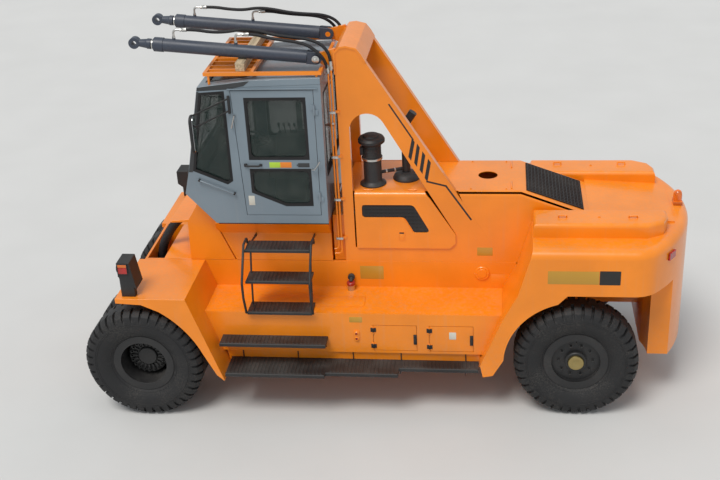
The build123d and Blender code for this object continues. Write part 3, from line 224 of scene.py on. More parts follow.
def rounded(points, radius, steps=4):
    """A closed outline with an arc at each corner: the corner's two tangent points joined by a
    curve through them that leaves along each side."""
    points = np.array(points, float)
    before, after = np.roll(points, 1, 0) - points, np.roll(points, -1, 0) - points
    one, two = np.linalg.norm(before, axis=1), np.linalg.norm(after, axis=1)
    before, after = before / one[:, None], after / two[:, None]
    angle = np.arccos(np.clip(np.sum(before * after, 1), -1, 1))
    reach = np.minimum(np.broadcast_to(radius, len(points)) / np.tan(angle / 2), 0.49 * np.minimum(one, two))
    fit = reach * np.tan(angle / 2)
    middle = (before + after) / np.linalg.norm(before + after, axis=1)[:, None]
    centre = points + middle * (fit / np.sin(angle / 2))[:, None]
    start, end = points + before * reach[:, None] - centre, points + after * reach[:, None] - centre
    sweep = pi - angle
    t = np.linspace(0, 1, steps + 1)[None, :, None]
    s = sweep[:, None, None]
    arcs = (np.sin((1 - t) * s) * start[:, None] + np.sin(t * s) * end[:, None]) / np.sin(s)
    return (centre[:, None] + arcs).reshape(-1, points.shape[1])


def inset_outline(outline, amount):
    """A closed flat outline moved inwards along its corners' mitres."""
    before = outline - np.roll(outline, 1, 0)
    after = np.roll(outline, -1, 0) - outline
    before /= np.linalg.norm(before, axis=1)[:, None]
    after /= np.linalg.norm(after, axis=1)[:, None]
    area = np.sum(outline[:, 0] * np.roll(outline[:, 1], -1) - np.roll(outline[:, 0], -1) * outline[:, 1])
    turn = np.sign(area)
    normal = np.stack([-(before + after)[:, 1], (before + after)[:, 0]], -1) * turn
    return outline + amount * normal * 2 / np.sum(normal * normal, 1)[:, None]


def plate(outline, place, thickness, r=0.0):
    """A flat outline carried from 0 to the thickness; place turns (x, y, height) into the row frame.
    Its rims are rounded by r."""
    outline = np.array(outline, float)
    levels = ((0, r), (r * 0.3, r * 0.3), (r, 0),
              (thickness - r, 0), (thickness - r * 0.3, r * 0.3), (thickness, r))
    if not r:
        levels = ((0, 0), (thickness, 0))
    rows = [place(inset_outline(outline, inset) if inset else outline, height) for height, inset in levels]
    return surface(np.stack(rows), close_columns=True, caps=True)


def on_side(y, sign=1):
    """The place of an outline of (station, z) on a wall at y; height is outwards."""
    def place(outline, height):
        face = np.full(len(outline), sign * y + sign * height)
        return np.stack([AXLE + outline[:, 0], face, outline[:, 1]], -1)
    return place


def across(station):
    """The place of an outline of (y, z) at a station; height is forwards."""
    def place(outline, height):
        return np.stack([np.full(len(outline), AXLE + station + height), outline[:, 0], outline[:, 1]], -1)
    return place


def in_plane(origin, x_axis, y_axis):
    """The place of an outline in any plane, given by a point and its two directions."""
    origin, x_axis, y_axis = (np.array(v, float) for v in (origin, x_axis, y_axis))
    normal = np.cross(x_axis, y_axis)

    def place(outline, height):
        return origin + outline[:, :1] * x_axis + outline[:, 1:] * y_axis + height * normal
    return place


def oblong(left, right, low, high):
    """The four corners of a rectangle."""
    return np.array(((left, low), (right, low), (right, high), (left, high)), float)


def band(outline, width, place, thickness, inner=None):
    """A flat band along the inside of an outline: the outline and an inner one, or the same moved in
    by the width, each at two levels, joined round."""
    outline = np.array(outline, float)
    inner = inset_outline(outline if inner is None else np.array(inner, float), width)
    rows = [place(outline, 0), place(outline, thickness), place(inner, thickness), place(inner, 0)]
    return surface(np.stack(rows), close_rows=True, close_columns=True)


def bent(points, radius, steps=4):
    """An open line of points with an arc at each inner corner."""
    points = np.array(points, float)
    arcs = rounded(points, radius, steps)
    return np.concatenate([points[:1], arcs[steps + 1:-(steps + 1)], points[-1:]])


def crossings(outline, value, axis):
    """The stretches of the line at a value of x (axis 0) or y (axis 1) that lie within an outline."""
    first, second = np.array(outline, float), np.roll(outline, -1, 0)
    low, high = first[:, axis] <= value, second[:, axis] <= value
    share = (value - first[low != high, axis]) / (second - first)[low != high, axis]
    met = first[low != high, 1 - axis] + share * (second - first)[low != high, 1 - axis]
    return np.sort(met).reshape(-1, 2)


def mesh_bars(outline, pitch, width, place, thickness, margin=0.0):
    """Crossed bars at a pitch over an outline, each cut to the stretches that lie within it."""
    outline = np.array(outline, float)
    bars = []
    for axis in (0, 1):
        low, high = outline[:, axis].min(), outline[:, axis].max()
        count = int((high - low) / pitch)
        for index in range(count + 1):
            value = (low + high) / 2 + (index - count / 2) * pitch
            for start, end in crossings(outline, value, axis):
                corners = oblong(value - width / 2, value + width / 2, start + margin, end - margin)
                bars.append(plate(corners if axis == 0 else corners[:, ::-1], place, thickness))
    return join(*bars)


def strip(start, end, half_width, along, place, thickness):
    """A painted bar from start to end whose ends are cut along the given direction."""
    start, end, side = (np.array(v, float) for v in (start, end, along))
    side *= half_width
    return plate(np.stack([start - side, end - side, end + side, start + side]), place, thickness)


def mirrored(part):
    """A surface on the truck's other side."""
    points, faces = part
    return points * (1, -1, 1), [face[::-1] for face in faces]


def to_side(part, sign):
    """A surface made for the left side, or its mirror image if the sign is minus."""
    return part if sign > 0 else mirrored(part)


def both(part):
    """A surface and its mirror image."""
    return join(part, mirrored(part))


def spun(part, centre, axis, angles):
    """Copies of a surface turned about an axis, one for each angle."""
    a, u, v = axes_of(axis)
    points, faces = part
    flat = points - np.array(centre)
    along = flat @ a
    x, y = flat @ u, flat @ v
    copies = []
    for angle in angles:
        c, s = cos(angle), sin(angle)
        copies.append((np.array(centre) + along[:, None] * a + (c * x - s * y)[:, None] * u
                       + (s * x + c * y)[:, None] * v, faces))
    return join(*copies)


def bolt(centre, axis, size, height, washer=1.5):
    """A hexagon head on a round washer, with a crowned top."""
    a = axes_of(axis)[0]
    base = np.array(centre, float)
    head = lathe([(0, 0), (0, size), (height * 0.8, size), (height, size * 0.82), (height, 0)],
                 base + a * height * 0.25, axis, 6)
    edge = size * washer
    return join(lathe([(0, 0), (0, edge), (height * 0.25, edge), (height * 0.3, 0)], base, axis, 16), head)


# Pieces: meshes made from surfaces, and copies of the solids with their edges broken
MERGE = 2e-5
SLIVER = 1e-5
FLAT_ANGLE = 0.6
BROKEN_ANGLE = 32
SMOOTH_ANGLE = 35
TOOL_ANGLE = 30


def finish_mesh(mesh, angle):
    """Merges doubles, points faces outwards and keeps edges sharper than the angle sharp."""
    bm = bmesh.new()
    bm.from_mesh(mesh)
    bmesh.ops.remove_doubles(bm, verts=bm.verts, dist=MERGE)
    bmesh.ops.dissolve_degenerate(bm, edges=bm.edges, dist=SLIVER)
    bmesh.ops.recalc_face_normals(bm, faces=bm.faces)
    bm.to_mesh(mesh)
    bm.free()
    mesh.shade_smooth()
    mesh.set_sharp_from_angle(angle=radians(angle))


def bevelled(obj, width):
    """Breaks the sharp edges of an object."""
    if width:
        modifier = obj.modifiers.new("broken_edges", "BEVEL")
        modifier.width = width
        modifier.segments = 2
        modifier.limit_method = "ANGLE"
        modifier.angle_limit = radians(BROKEN_ANGLE)
        modifier.harden_normals = True


def piece(name, part, look, slot=None, body="root", replaces=(), bevel=0.0, smooth=SMOOTH_ANGLE):
    """Puts a surface into the scene as a piece that rides on a body. The slot argument is not used."""
    points, faces = part
    mesh = bpy.data.meshes.new(name)
    mesh.from_pydata(points.tolist(), [], faces)
    finish_mesh(mesh, smooth)
    obj = bpy.data.objects.new(name, mesh)
    bpy.context.scene.collection.objects.link(obj)
    mesh.materials.append(finish(look))
    bevelled(obj, bevel)
    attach(obj, body)
    slot or LOOKS[look][0]
    if replaces:
        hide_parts(*replaces)


def carved(mesh, cuts):
    """A mesh with closed surfaces cut out of it."""
    obj = bpy.data.objects.new("carved", mesh)
    bpy.context.scene.collection.objects.link(obj)
    tools = []
    for points, faces in cuts:
        tool_mesh = bpy.data.meshes.new("tool")
        tool_mesh.from_pydata(points.tolist(), [], faces)
        finish_mesh(tool_mesh, TOOL_ANGLE)
        tool = bpy.data.objects.new("tool", tool_mesh)
        bpy.context.scene.collection.objects.link(tool)
        modifier = obj.modifiers.new("cut", "BOOLEAN")
        modifier.object = tool
        modifier.operation = "DIFFERENCE"
        modifier.solver = "EXACT"
        tools.append(tool)
    bpy.context.view_layer.update()
    result = bpy.data.meshes.new_from_object(obj.evaluated_get(bpy.context.evaluated_depsgraph_get()))
    for tool in tools:
        bpy.data.meshes.remove(tool.data)
    bpy.data.meshes.remove(mesh)
    return result


def dressed(node, material, bevel, cuts=()):
    """A copy of a solid with its triangles merged into flat faces and its edges broken."""
    mesh = frame["nodes"][node].data.copy()
    mesh.name = node + "_skin"
    if cuts:
        bm = bmesh.new()
        bm.from_mesh(mesh)
        bmesh.ops.remove_doubles(bm, verts=bm.verts, dist=MERGE)
        bm.to_mesh(mesh)
        bm.free()
        mesh = carved(mesh, cuts)
    bm = bmesh.new()
    bm.from_mesh(mesh)
    bmesh.ops.remove_doubles(bm, verts=bm.verts, dist=MERGE)
    bmesh.ops.dissolve_limit(bm, angle_limit=radians(FLAT_ANGLE), verts=bm.verts, edges=bm.edges)
    clean = bpy.data.meshes.new(node + "_skin")
    bm.to_mesh(clean)
    bm.free()
    bpy.data.meshes.remove(mesh)
    for attribute in list(clean.attributes):
        if attribute.name in ("custom_normal", "sharp_face"):
            clean.attributes.remove(attribute)
    clean.shade_smooth()
    clean.set_sharp_from_angle(angle=radians(SMOOTH_ANGLE))
    obj = bpy.data.objects.new(clean.name, clean)
    bpy.context.scene.collection.objects.link(obj)
    clean.materials.clear()
    clean.materials.append(material)
    bevelled(obj, bevel)
    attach(obj, BODY_OF[node])
    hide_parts(node)


# Materials

class Value:
    """A number that varies over a surface. The usual signs add the Math nodes that work it out."""

    def __init__(self, tree, socket):
        self.tree, self.socket = tree, socket

    def math(self, operation, *inputs):
        node = self.tree.nodes.new("ShaderNodeMath")
        node.operation = operation
        for socket, value in zip(node.inputs, inputs):
            if isinstance(value, Value):
                self.tree.links.new(value.socket, socket)
            else:
                socket.default_value = value
        return Value(self.tree, node.outputs[0])

    def __add__(self, other):
        return self.math("ADD", self, other)

    def __rsub__(self, other):
        return self.math("SUBTRACT", other, self)

    def __mul__(self, other):
        return self.math("MULTIPLY", self, other)

    __radd__ = __add__
    __rmul__ = __mul__

    def between(self, low, high):
        """0 below low, 1 above high and a smooth step between them."""
        node = self.tree.nodes.new("ShaderNodeMapRange")
        node.interpolation_type = "SMOOTHSTEP"
        node.inputs["From Min"].default_value = low
        node.inputs["From Max"].default_value = high
        self.tree.links.new(self.socket, node.inputs["Value"])
        return Value(self.tree, node.outputs["Result"])


class Finish:
    """A material made of nodes, with one Principled shader."""

    def __init__(self, name, **uniform):
        self.material = bpy.data.materials.new(name)
        self.material.use_nodes = True
        self.tree = self.material.node_tree
        self.tree.nodes.clear()
        self.shader = self.node("ShaderNodeBsdfPrincipled")
        self.node("ShaderNodeOutputMaterial", Surface=self.shader.outputs[0])
        self.place = self.node("ShaderNodeTexCoord").outputs["Object"]
        for socket, value in uniform.items():
            self.shader.inputs[socket.replace("_", " ")].default_value = value

    def node(self, kind, settings=(), **inputs):
        """A node of any kind, with its settings and then the values or links of its sockets."""
        node = self.tree.nodes.new(kind)
        for setting, value in dict(settings).items():
            setattr(node, setting, value)
        for name, value in inputs.items():
            self.feed(node.inputs[name.replace("_", " ")], value)
        return node

    def feed(self, socket, value):
        if isinstance(value, Value):
            value = value.socket
        if isinstance(value, bpy.types.NodeSocket):
            self.tree.links.new(value, socket)
        else:
            socket.default_value = value

    def stretched(self, scale):
        """The object's coordinates, each multiplied by its own number."""
        return self.node("ShaderNodeMapping", Vector=self.place, Scale=scale).outputs[0]

    def noise(self, scale, detail=3.0, vector=None, roughness=0.5):
        node = self.node("ShaderNodeTexNoise", Vector=vector or self.place, Scale=scale, Detail=detail,
                         Roughness=roughness)
        return Value(self.tree, node.outputs["Fac"])

    def part(self, index):
        """One of the three coordinates."""
        node = self.node("ShaderNodeSeparateXYZ", Vector=self.place)
        return Value(self.tree, node.outputs[index])

    def facing_up(self):
        """How far the surface faces up, from -1 to 1."""
        normal = self.node("ShaderNodeTexCoord").outputs["Normal"]
        return Value(self.tree, self.node("ShaderNodeSeparateXYZ", Vector=normal).outputs[2])

    def mix(self, factor, first, second):
        """A blend of two colours."""
        node = self.node("ShaderNodeMix", {"data_type": "RGBA"})
        self.feed(node.inputs[0], factor)
        self.feed(node.inputs[6], first)
        self.feed(node.inputs[7], second)
        return node.outputs[2]

    def colour(self, value):
        self.feed(self.shader.inputs["Base Color"], value)

    def rough(self, value):
        self.feed(self.shader.inputs["Roughness"], value)

    def relief(self, height, depth, strength=1.0):
        """Bumps of the given depth in metres."""
        bump = self.node("ShaderNodeBump", Height=height, Distance=depth, Strength=strength)
        self.feed(self.shader.inputs["Normal"], bump.outputs[0])


def solid(colour, factor=1.0):
    """A colour with its alpha, made lighter or darker."""
    return (*(min(channel * factor, 1.0) for channel in colour[:3]), 1.0)


DUST = (0.42, 0.36, 0.28)


def paint(name, colour, gloss=0.34, dusty=0.25, streaky=0.16):
    """Sprayed paint: uneven in tone, with orange peel, dust on what faces up and low down, and faint
    streaks where water has run."""
    f = Finish(name, Coat_Roughness=0.12, Coat_Weight=0.35)
    tone = f.noise(1.7, 4.0)
    fine = f.noise(23.0, 4.0)
    run = f.noise(1.0, 3.0, f.stretched((16, 16, 0.9))).between(0.56, 0.78)
    low = 1 - f.part(2).between(0.3, 1.5)
    settled = f.facing_up().between(0.5, 1.0) * 0.5 + low * 0.5
    dirt = settled * fine.between(0.35, 0.75) * dusty + run * streaky * 0.5
    body = f.mix(tone.between(0.3, 0.7), solid(colour, 0.93), solid(colour, 1.05))
    f.colour(f.mix(dirt, body, solid(DUST)))
    f.rough(fine * 0.12 + dirt * 0.35 + (gloss - 0.06))
    f.relief(f.noise(420.0, 2.0), 0.00012, 0.6)
    return f.material


def rubber(name, colour, dusty=0.3):
    """Tyre rubber: charcoal, with road dust held in its pores."""
    f = Finish(name, Specular_IOR_Level=0.35)
    pores = f.noise(60.0, 5.0)
    film = f.noise(3.0, 5.0).between(0.35, 0.75)
    dust = film * pores.between(0.4, 0.7) * dusty
    f.colour(f.mix(dust, f.mix(pores, solid(colour, 0.75), solid(colour, 1.3)), (0.16, 0.145, 0.125, 1)))
    f.rough(dust * 0.3 + pores * 0.12 + 0.55)
    f.relief(f.noise(240.0, 4.0), 0.0006, 0.5)
    return f.material


def black_coat(name, colour, gloss=0.42, dusty=0.25, grain=0.0002):
    """Black paint or plastic: fine grain, greyed by a film of dust."""
    f = Finish(name)
    fine = f.noise(35.0, 5.0)
    film = f.noise(2.6, 4.0).between(0.3, 0.8) * (f.facing_up().between(-0.2, 1.0) * 0.7 + 0.3)
    coat = f.mix(fine, solid(colour, 0.8), solid(colour, 1.25))
    f.colour(f.mix(film * fine * dusty, coat, (0.30, 0.28, 0.25, 1)))
    f.rough(fine * 0.15 + film * 0.2 + gloss)
    f.relief(f.noise(520.0, 3.0), grain, 0.5)
    return f.material


def bare_metal(name, colour, gloss=0.22, smear=0.15):
    """Plated or ground steel: faint smears and fine scratches."""
    f = Finish(name, Metallic=1.0)
    marks = f.noise(45.0, 5.0, f.stretched((1, 6, 1)))
    f.colour(f.mix(marks, solid(colour, 0.82), solid(colour, 1.08)))
    f.rough(marks * smear + gloss)
    f.relief(marks, 0.00015, 0.3)
    return f.material


def pane(name, colour):
    """Tinted safety glass: see-through, with a film of dust that thins its gloss."""
    f = Finish(name, Specular_IOR_Level=0.6, IOR=1.5)
    film = f.noise(5.0, 5.0).between(0.35, 0.8)
    low = f.noise(0.9, 2.0)
    f.colour(f.mix(film * 0.25, solid(colour), (0.16, 0.17, 0.15, 1)))
    f.rough(film * 0.08 + 0.04)
    f.feed(f.shader.inputs["Alpha"], film * 0.06 + low * 0.05 + 0.5)
    f.material.blend_method = "BLEND"
    return f.material


def lens(name, colour):
    """Moulded lens plastic with fine ribs inside."""
    f = Finish(name, Coat_Weight=0.6, Coat_Roughness=0.08)
    ribs = f.noise(1.0, 2.0, f.stretched((4, 90, 4)))
    f.colour(f.mix(ribs.between(0.35, 0.65), solid(colour, 0.6), solid(colour, 1.2)))
    f.rough(ribs * 0.1 + 0.18)
    f.relief(ribs, 0.0006, 0.6)
    return f.material


def timber_finish(name, colour):
    """Sawn pine: grain along the beam, rays of saw marks and darker stains."""
    f = Finish(name)
    grain = f.noise(1.0, 6.0, f.stretched((55, 2.2, 55)), 0.65)
    saw = f.noise(1.0, 3.0, f.stretched((8, 120, 8)))
    stain = f.noise(5.0, 4.0).between(0.5, 0.8)
    wood = f.mix(grain.between(0.35, 0.68), solid(colour, 0.62), solid(colour, 1.12))
    f.colour(f.mix(stain * 0.5, wood, (0.28, 0.24, 0.19, 1)))
    f.rough(grain * 0.15 + 0.7)
    f.relief(grain * 0.7 + saw * 0.3, 0.0012, 0.7)
    return f.material


# Usual slot, maker, material, colour (or its name in the panel) and whatever else the maker takes
LOOKS = {
    "body_orange": ("body_orange", paint, "orange_paint", "body"),
    "cab_blue_grey": ("cab_blue_grey", paint, "blue_grey_paint", "cab", 0.38, 0.18, 0.12),
    "slate_paint": ("slate_paint", black_coat, "slate_paint", "cylinder", 0.34, 0.3),
    "dark_metal": ("dark_metal", black_coat, "black_paint", "black", 0.4, 0.3),
    "black_metal": ("black_metal", black_coat, "wheel_black", "black", 0.38, 0.3),
    "black_plastic": ("black_plastic", black_coat, "black_plastic", "black", 0.5, 0.25, 0.0004),
    "cab_dark": ("black_plastic", black_coat, "dark_trim", (0.03, 0.033, 0.036), 0.4, 0.25),
    "cab_trim": ("black_plastic", black_coat, "cab_trim", (0.09, 0.1, 0.105), 0.6, 0.2, 0.0005),
    "stripe_black": ("black_plastic", black_coat, "stripe_film", (0.012, 0.012, 0.012), 0.3, 0.1),
    "vent_brown": ("dark_metal", black_coat, "vent_brown", (0.035, 0.014, 0.008), 0.5, 0.2),
    "tyre_rubber": ("tyre_rubber", rubber, "tyre_rubber", "tyre"),
    "seal_rubber": ("hose_rubber", rubber, "seal_rubber", (0.012, 0.012, 0.013), 0.1),
    "hose_rubber": ("hose_rubber", rubber, "hose_rubber", (0.014, 0.014, 0.016), 0.15),
    "bright_steel": ("bright_steel", bare_metal, "plated_steel", (0.62, 0.61, 0.58)),
    "dull_steel": ("dark_metal", bare_metal, "dull_steel", (0.09, 0.09, 0.09), 0.42),
    "mirror_silver": ("bright_steel", bare_metal, "mirror_silver", (0.75, 0.77, 0.8), 0.05, 0.02),
    "brass": ("bright_steel", bare_metal, "passivated_cap", (0.42, 0.33, 0.14), 0.35),
    "label_lime": ("tail_lens", paint, "lime_label", (0.42, 0.62, 0.04), 0.4, 0.05),
    "label_amber": ("tail_lens", paint, "amber_label", (0.78, 0.22, 0.01), 0.4, 0.05),
    "red_dark": ("tail_lens", paint, "red_cap", (0.36, 0.018, 0.012), 0.4, 0.1),
    "plate_ochre": ("body_orange", paint, "ochre_plate", (0.52, 0.27, 0.02), 0.4, 0.1),
    "white_plate": ("body_orange", paint, "pale_plate", (0.62, 0.6, 0.52), 0.4, 0.15),
    "glass": ("window_glass", pane, "tinted_glass", "glass"),
    "red_lens": ("tail_lens", lens, "red_lens", (0.42, 0.012, 0.008)),
    "amber_lens": ("beacon_lens", lens, "amber_lens", (0.75, 0.16, 0.01)),
    "clear_lens": ("bright_steel", lens, "clear_lens", (0.62, 0.62, 0.6)),
    "timber_wood": ("timber_wood", timber_finish, "sawn_pine", "timber"),
}
FINISHES = {}


def finish(name):
    """The material of that name, made once."""
    if name not in FINISHES:
        _, maker, title, colour, *rest = LOOKS[name]
        if isinstance(colour, str):
            colour = getattr(bpy.context.scene.truck_colours, colour)
        FINISHES[name] = maker(title, colour, *rest)
    return FINISHES[name]


def colour_of(name, description, default):
    """A colour in the panel."""
    return FloatVectorProperty(name=name, description="Colour of " + description, subtype="COLOR",
                               default=default, min=0, max=1)


class TruckColours(bpy.types.PropertyGroup):
    body: colour_of("Body paint", "the body panels", (0.88, 0.245, 0.004))
    cab: colour_of("Cab paint", "the cab", (0.185, 0.235, 0.275))
    cylinder: colour_of("Cylinder paint", "the tilt cylinders", (0.042, 0.052, 0.075))
    black: colour_of("Black paint", "treads, rims and trim", (0.014, 0.014, 0.015))
    tyre: colour_of("Tyre", "the tyres' rubber", (0.017, 0.017, 0.018))
    glass: colour_of("Glass tint", "the cab's panes", (0.012, 0.028, 0.024))
    timber: colour_of("Timber", "the beam under the cylinders", (0.55, 0.43, 0.28))


class TruckSizes(bpy.types.PropertyGroup):
    seal_width: FloatProperty(name="Seal width", description="Width of the black seals round the panes",
                              unit="LENGTH", default=0.035, min=0.005, max=0.1)
    rib_pitch: FloatProperty(name="Rib pitch", description="Distance from rib to rib on the treads",
                             unit="LENGTH", default=0.048, min=0.01)
    lugs: IntProperty(name="Lugs", description="Tread lugs round each shoulder of a tyre", default=38, min=8)
    front_nuts: IntProperty(name="Front nuts", description="Clamps and nuts of each front wheel",
                            default=20, min=4)
    rear_nuts: IntProperty(name="Rear nuts", description="Nuts that hold each rear wheel", default=10, min=4)


# The camera stands where the photograph was taken from
CAMERA_PLACE = (-1.461, 13.10, 8.268)
CAMERA_PITCH = 26.31
CAMERA_ROLL = -3.11
CAMERA_YAW = 8.01
FOCAL_PIXELS = 1131.6
PICTURE_WIDTH = 720
SENSOR_WIDTH = 36.0
FLOOR_HALF = 60
SUN_STRENGTH = 2.1
SUN_SPREAD = 25
SUN_COLOUR = (1.0, 0.97, 0.93)
SUN_FROM = (0.25, 0.50, 1.0)
SKY_STRENGTH = 0.62
SKY_COLOUR = (0.92, 0.96, 1.0, 1)


class STAGE_OT_build(bpy.types.Operator):
    """Floor, light and the camera at the photograph's angle"""
    bl_idname = "truck.stage"
    bl_label = "Stage"

    def execute(self, context):
        scene = context.scene
        pitch, roll, yaw = radians(CAMERA_PITCH), radians(CAMERA_ROLL), radians(CAMERA_YAW)
        forward = Vector((sin(yaw) * cos(pitch), -cos(yaw) * cos(pitch), -sin(pitch)))
        right = forward.cross(Vector(UP)).normalized()
        up = right.cross(forward)
        side = cos(roll) * right + sin(roll) * up
        above = -sin(roll) * right + cos(roll) * up
        camera = bpy.data.cameras.new("camera")
        camera.sensor_width = SENSOR_WIDTH
        camera.lens = FOCAL_PIXELS / PICTURE_WIDTH * SENSOR_WIDTH
        camera.clip_end = 200
        holder = bpy.data.objects.new("camera", camera)
        holder.matrix_world = Matrix((side, above, -forward)).transposed().to_4x4()
        holder.location = CAMERA_PLACE
        scene.collection.objects.link(holder)
        scene.camera = holder

        floor_mesh = bpy.data.meshes.new("floor")
        edges = oblong(-FLOOR_HALF, FLOOR_HALF, -FLOOR_HALF, FLOOR_HALF)
        floor_mesh.from_pydata([(x, y, 0) for x, y in edges.tolist()], [], [(0, 1, 2, 3)])
        floor = bpy.data.objects.new("floor", floor_mesh)
        scene.collection.objects.link(floor)
        f = Finish("pale_floor")
        patch = f.noise(0.7, 4.0)
        f.colour(f.mix(patch, (0.56, 0.56, 0.55, 1), (0.62, 0.62, 0.61, 1)))
        f.rough(patch * 0.1 + 0.75)
        floor_mesh.materials.append(f.material)

        sun = bpy.data.lights.new("sun", "SUN")
        sun.energy = SUN_STRENGTH
        sun.angle = radians(SUN_SPREAD)
        sun.color = SUN_COLOUR
        lamp = bpy.data.objects.new("sun", sun)
        lamp.rotation_euler = Vector(SUN_FROM).to_track_quat("Z", "Y").to_euler()
        scene.collection.objects.link(lamp)
        world = bpy.data.worlds.new("sky")
        world.use_nodes = True
        sky = world.node_tree.nodes["Background"].inputs
        sky["Color"].default_value, sky["Strength"].default_value = SKY_COLOUR, SKY_STRENGTH
        scene.world = world
        scene.view_settings.view_transform = "Standard"
        return {"FINISHED"}


PANELS = {
    "chassis": 0.004, "front_fender_left": 0.008, "front_fender_right": 0.008, "side_box_left": 0.006,
    "side_box_right": 0.006, "locker_door_front_left": 0.003, "locker_door_front_right": 0.003,
    "locker_door_rear_left": 0.003, "locker_door_rear_right": 0.003,
    "tower": 0.005, "hood": 0.003, "access_cover_left": 0.004, "access_cover_right": 0.004,
    "rear_body": 0.012,
    "roof_guard": 0.005, "cab_shell": 0.006, "cab_roof": 0.006, "cab_door": 0.003, "steer_axle": 0.005,
    "drive_axle": 0.004, "knuckle_left": 0.003, "knuckle_right": 0.003, "engine_block": 0.01,
    "tower_pipes": 0.001, "steps": 0.003, "timber": 0.004, "tail_lamps": 0.004,
    "driver_seat": 0.03, "steering_column": 0.004, "vent_mesh": 0.001,
    "front_wheel_left": 0.003, "front_wheel_right": 0.003,
    "rear_wheel_left": 0.003, "rear_wheel_right": 0.003,
    "tilt_barrel_left": 0.003, "tilt_barrel_right": 0.003, "tilt_rod_left": 0.003, "tilt_rod_right": 0.003,
    "tilt_ports_left": 0.0, "tilt_ports_right": 0.0, "cab_glass": 0.0, "door_glass": 0.0,
}
SLOT_FINISH = {"window_glass": "glass", "tail_lens": "red_lens", "beacon_lens": "amber_lens"}
NODE_FINISH = {"vent_mesh": "vent_brown"}
OPENING = ((-2.610, 1.885), (-2.610, 4.257), (-3.976, 1.885))
OPENING_ROUND = (0.020, 0.217, 0.020)
OPENING_FOOT = 2.700
COVER_WINDOW = ((-2.715, 2.482), (-3.352, 2.482), (-3.556, 2.106), (-3.352, 2.106), (-3.238, 2.312),
                (-2.715, 2.312))
COVER_WINDOW_ROUND = (0.040, 0.075, 0.032, 0.032, 0.075, 0.040)


def opening_cut():
    """The tower's opening above the hood, a triangle with a round top, as a closed surface."""
    outline = rounded(OPENING, OPENING_ROUND, 14)
    outline = outline[outline[:, 1] > OPENING_FOOT]
    (front, foot), (_, top), (back, _) = OPENING
    share = (OPENING_FOOT - foot) / (top - foot)
    ends = [(front, OPENING_FOOT), (back + (front - back) * share, OPENING_FOOT)]
    return plate(np.concatenate([ends[:1], outline, ends[1:]]), on_side(-0.6), 1.2)


def window_cut(sign):
    """The window of an access cover, as a closed surface."""
    return plate(rounded(COVER_WINDOW, COVER_WINDOW_ROUND), on_side(0.52, sign), 0.06)


CUTS = {"tower": opening_cut(), "access_cover_left": window_cut(1), "access_cover_right": window_cut(-1)}


class PANELS_OT_build(bpy.types.Operator):
    """The body's plates and boxes, with broken edges and their paint"""
    bl_idname = "truck.panels"
    bl_label = "Body panels"

    def execute(self, context):
        for node, edge in PANELS.items():
            slot = SLOT_OF[node]
            look = NODE_FINISH.get(node, SLOT_FINISH.get(slot, slot))
            dressed(node, finish(look), edge, [CUTS[node]] if node in CUTS else ())
        return {"FINISHED"}


ROUTES = {
    "rod_hose_left": ((-0.712, 0.5025, 4.706), (-0.850, 0.5025, 4.706), (-1.040, 0.498, 4.670),
                      (-1.230, 0.490, 4.668), (-1.410, 0.480, 4.696), (-1.590, 0.474, 4.674),
                      (-1.780, 0.482, 4.622), (-1.980, 0.490, 4.594), (-2.168, 0.504, 4.577),
                      (-2.312, 0.530, 4.536), (-2.396, 0.548, 4.464), (-2.440, 0.553, 4.369),
                      (-2.440, 0.553, 4.264)),
    "base_hose_left": ((-1.450, 0.5025, 4.641), (-1.560, 0.5025, 4.641), (-1.700, 0.522, 4.604),
                       (-1.860, 0.536, 4.578), (-2.030, 0.552, 4.560), (-2.170, 0.574, 4.530),
                       (-2.270, 0.590, 4.470), (-2.343, 0.594, 4.394), (-2.386, 0.578, 4.316),
                       (-2.398, 0.562, 4.226)),
    "rod_hose_right": ((-0.712, -0.5025, 4.706), (-0.850, -0.5025, 4.706), (-1.030, -0.499, 4.676),
                       (-1.220, -0.491, 4.664), (-1.400, -0.481, 4.692), (-1.590, -0.474, 4.674),
                       (-1.790, -0.483, 4.626), (-1.990, -0.491, 4.602), (-2.180, -0.506, 4.588),
                       (-2.316, -0.531, 4.540), (-2.398, -0.548, 4.466), (-2.440, -0.553, 4.369),
                       (-2.440, -0.553, 4.264)),
    "base_hose_right": ((-1.450, -0.5025, 4.641), (-1.560, -0.5025, 4.641), (-1.700, -0.521, 4.610),
                        (-1.870, -0.537, 4.584), (-2.040, -0.554, 4.568), (-2.180, -0.576, 4.538),
                        (-2.282, -0.592, 4.478), (-2.350, -0.594, 4.396), (-2.386, -0.578, 4.316),
                        (-2.398, -0.562, 4.226)),
}
HOSE_RADIUS = 0.019


def spline_points(name, route):
    """The points along a route's smooth line, read from a curve that has no thickness."""
    curve = bpy.data.curves.new(name + "_line", "CURVE")
    curve.dimensions = "3D"
    spline = curve.splines.new("NURBS")
    spline.points.add(len(route) - 1)
    for point, place in zip(spline.points, route):
        point.co = (*at(*place), 1)
    spline.order_u = 3
    spline.use_endpoint_u = True
    spline.resolution_u = 6
    holder = bpy.data.objects.new(name + "_line", curve)
    mesh = bpy.data.meshes.new_from_object(holder)
    points = np.empty(len(mesh.vertices) * 3)
    mesh.vertices.foreach_get("co", points)
    bpy.data.objects.remove(holder)
    bpy.data.curves.remove(curve)
    bpy.data.meshes.remove(mesh)
    return points.reshape(-1, 3)


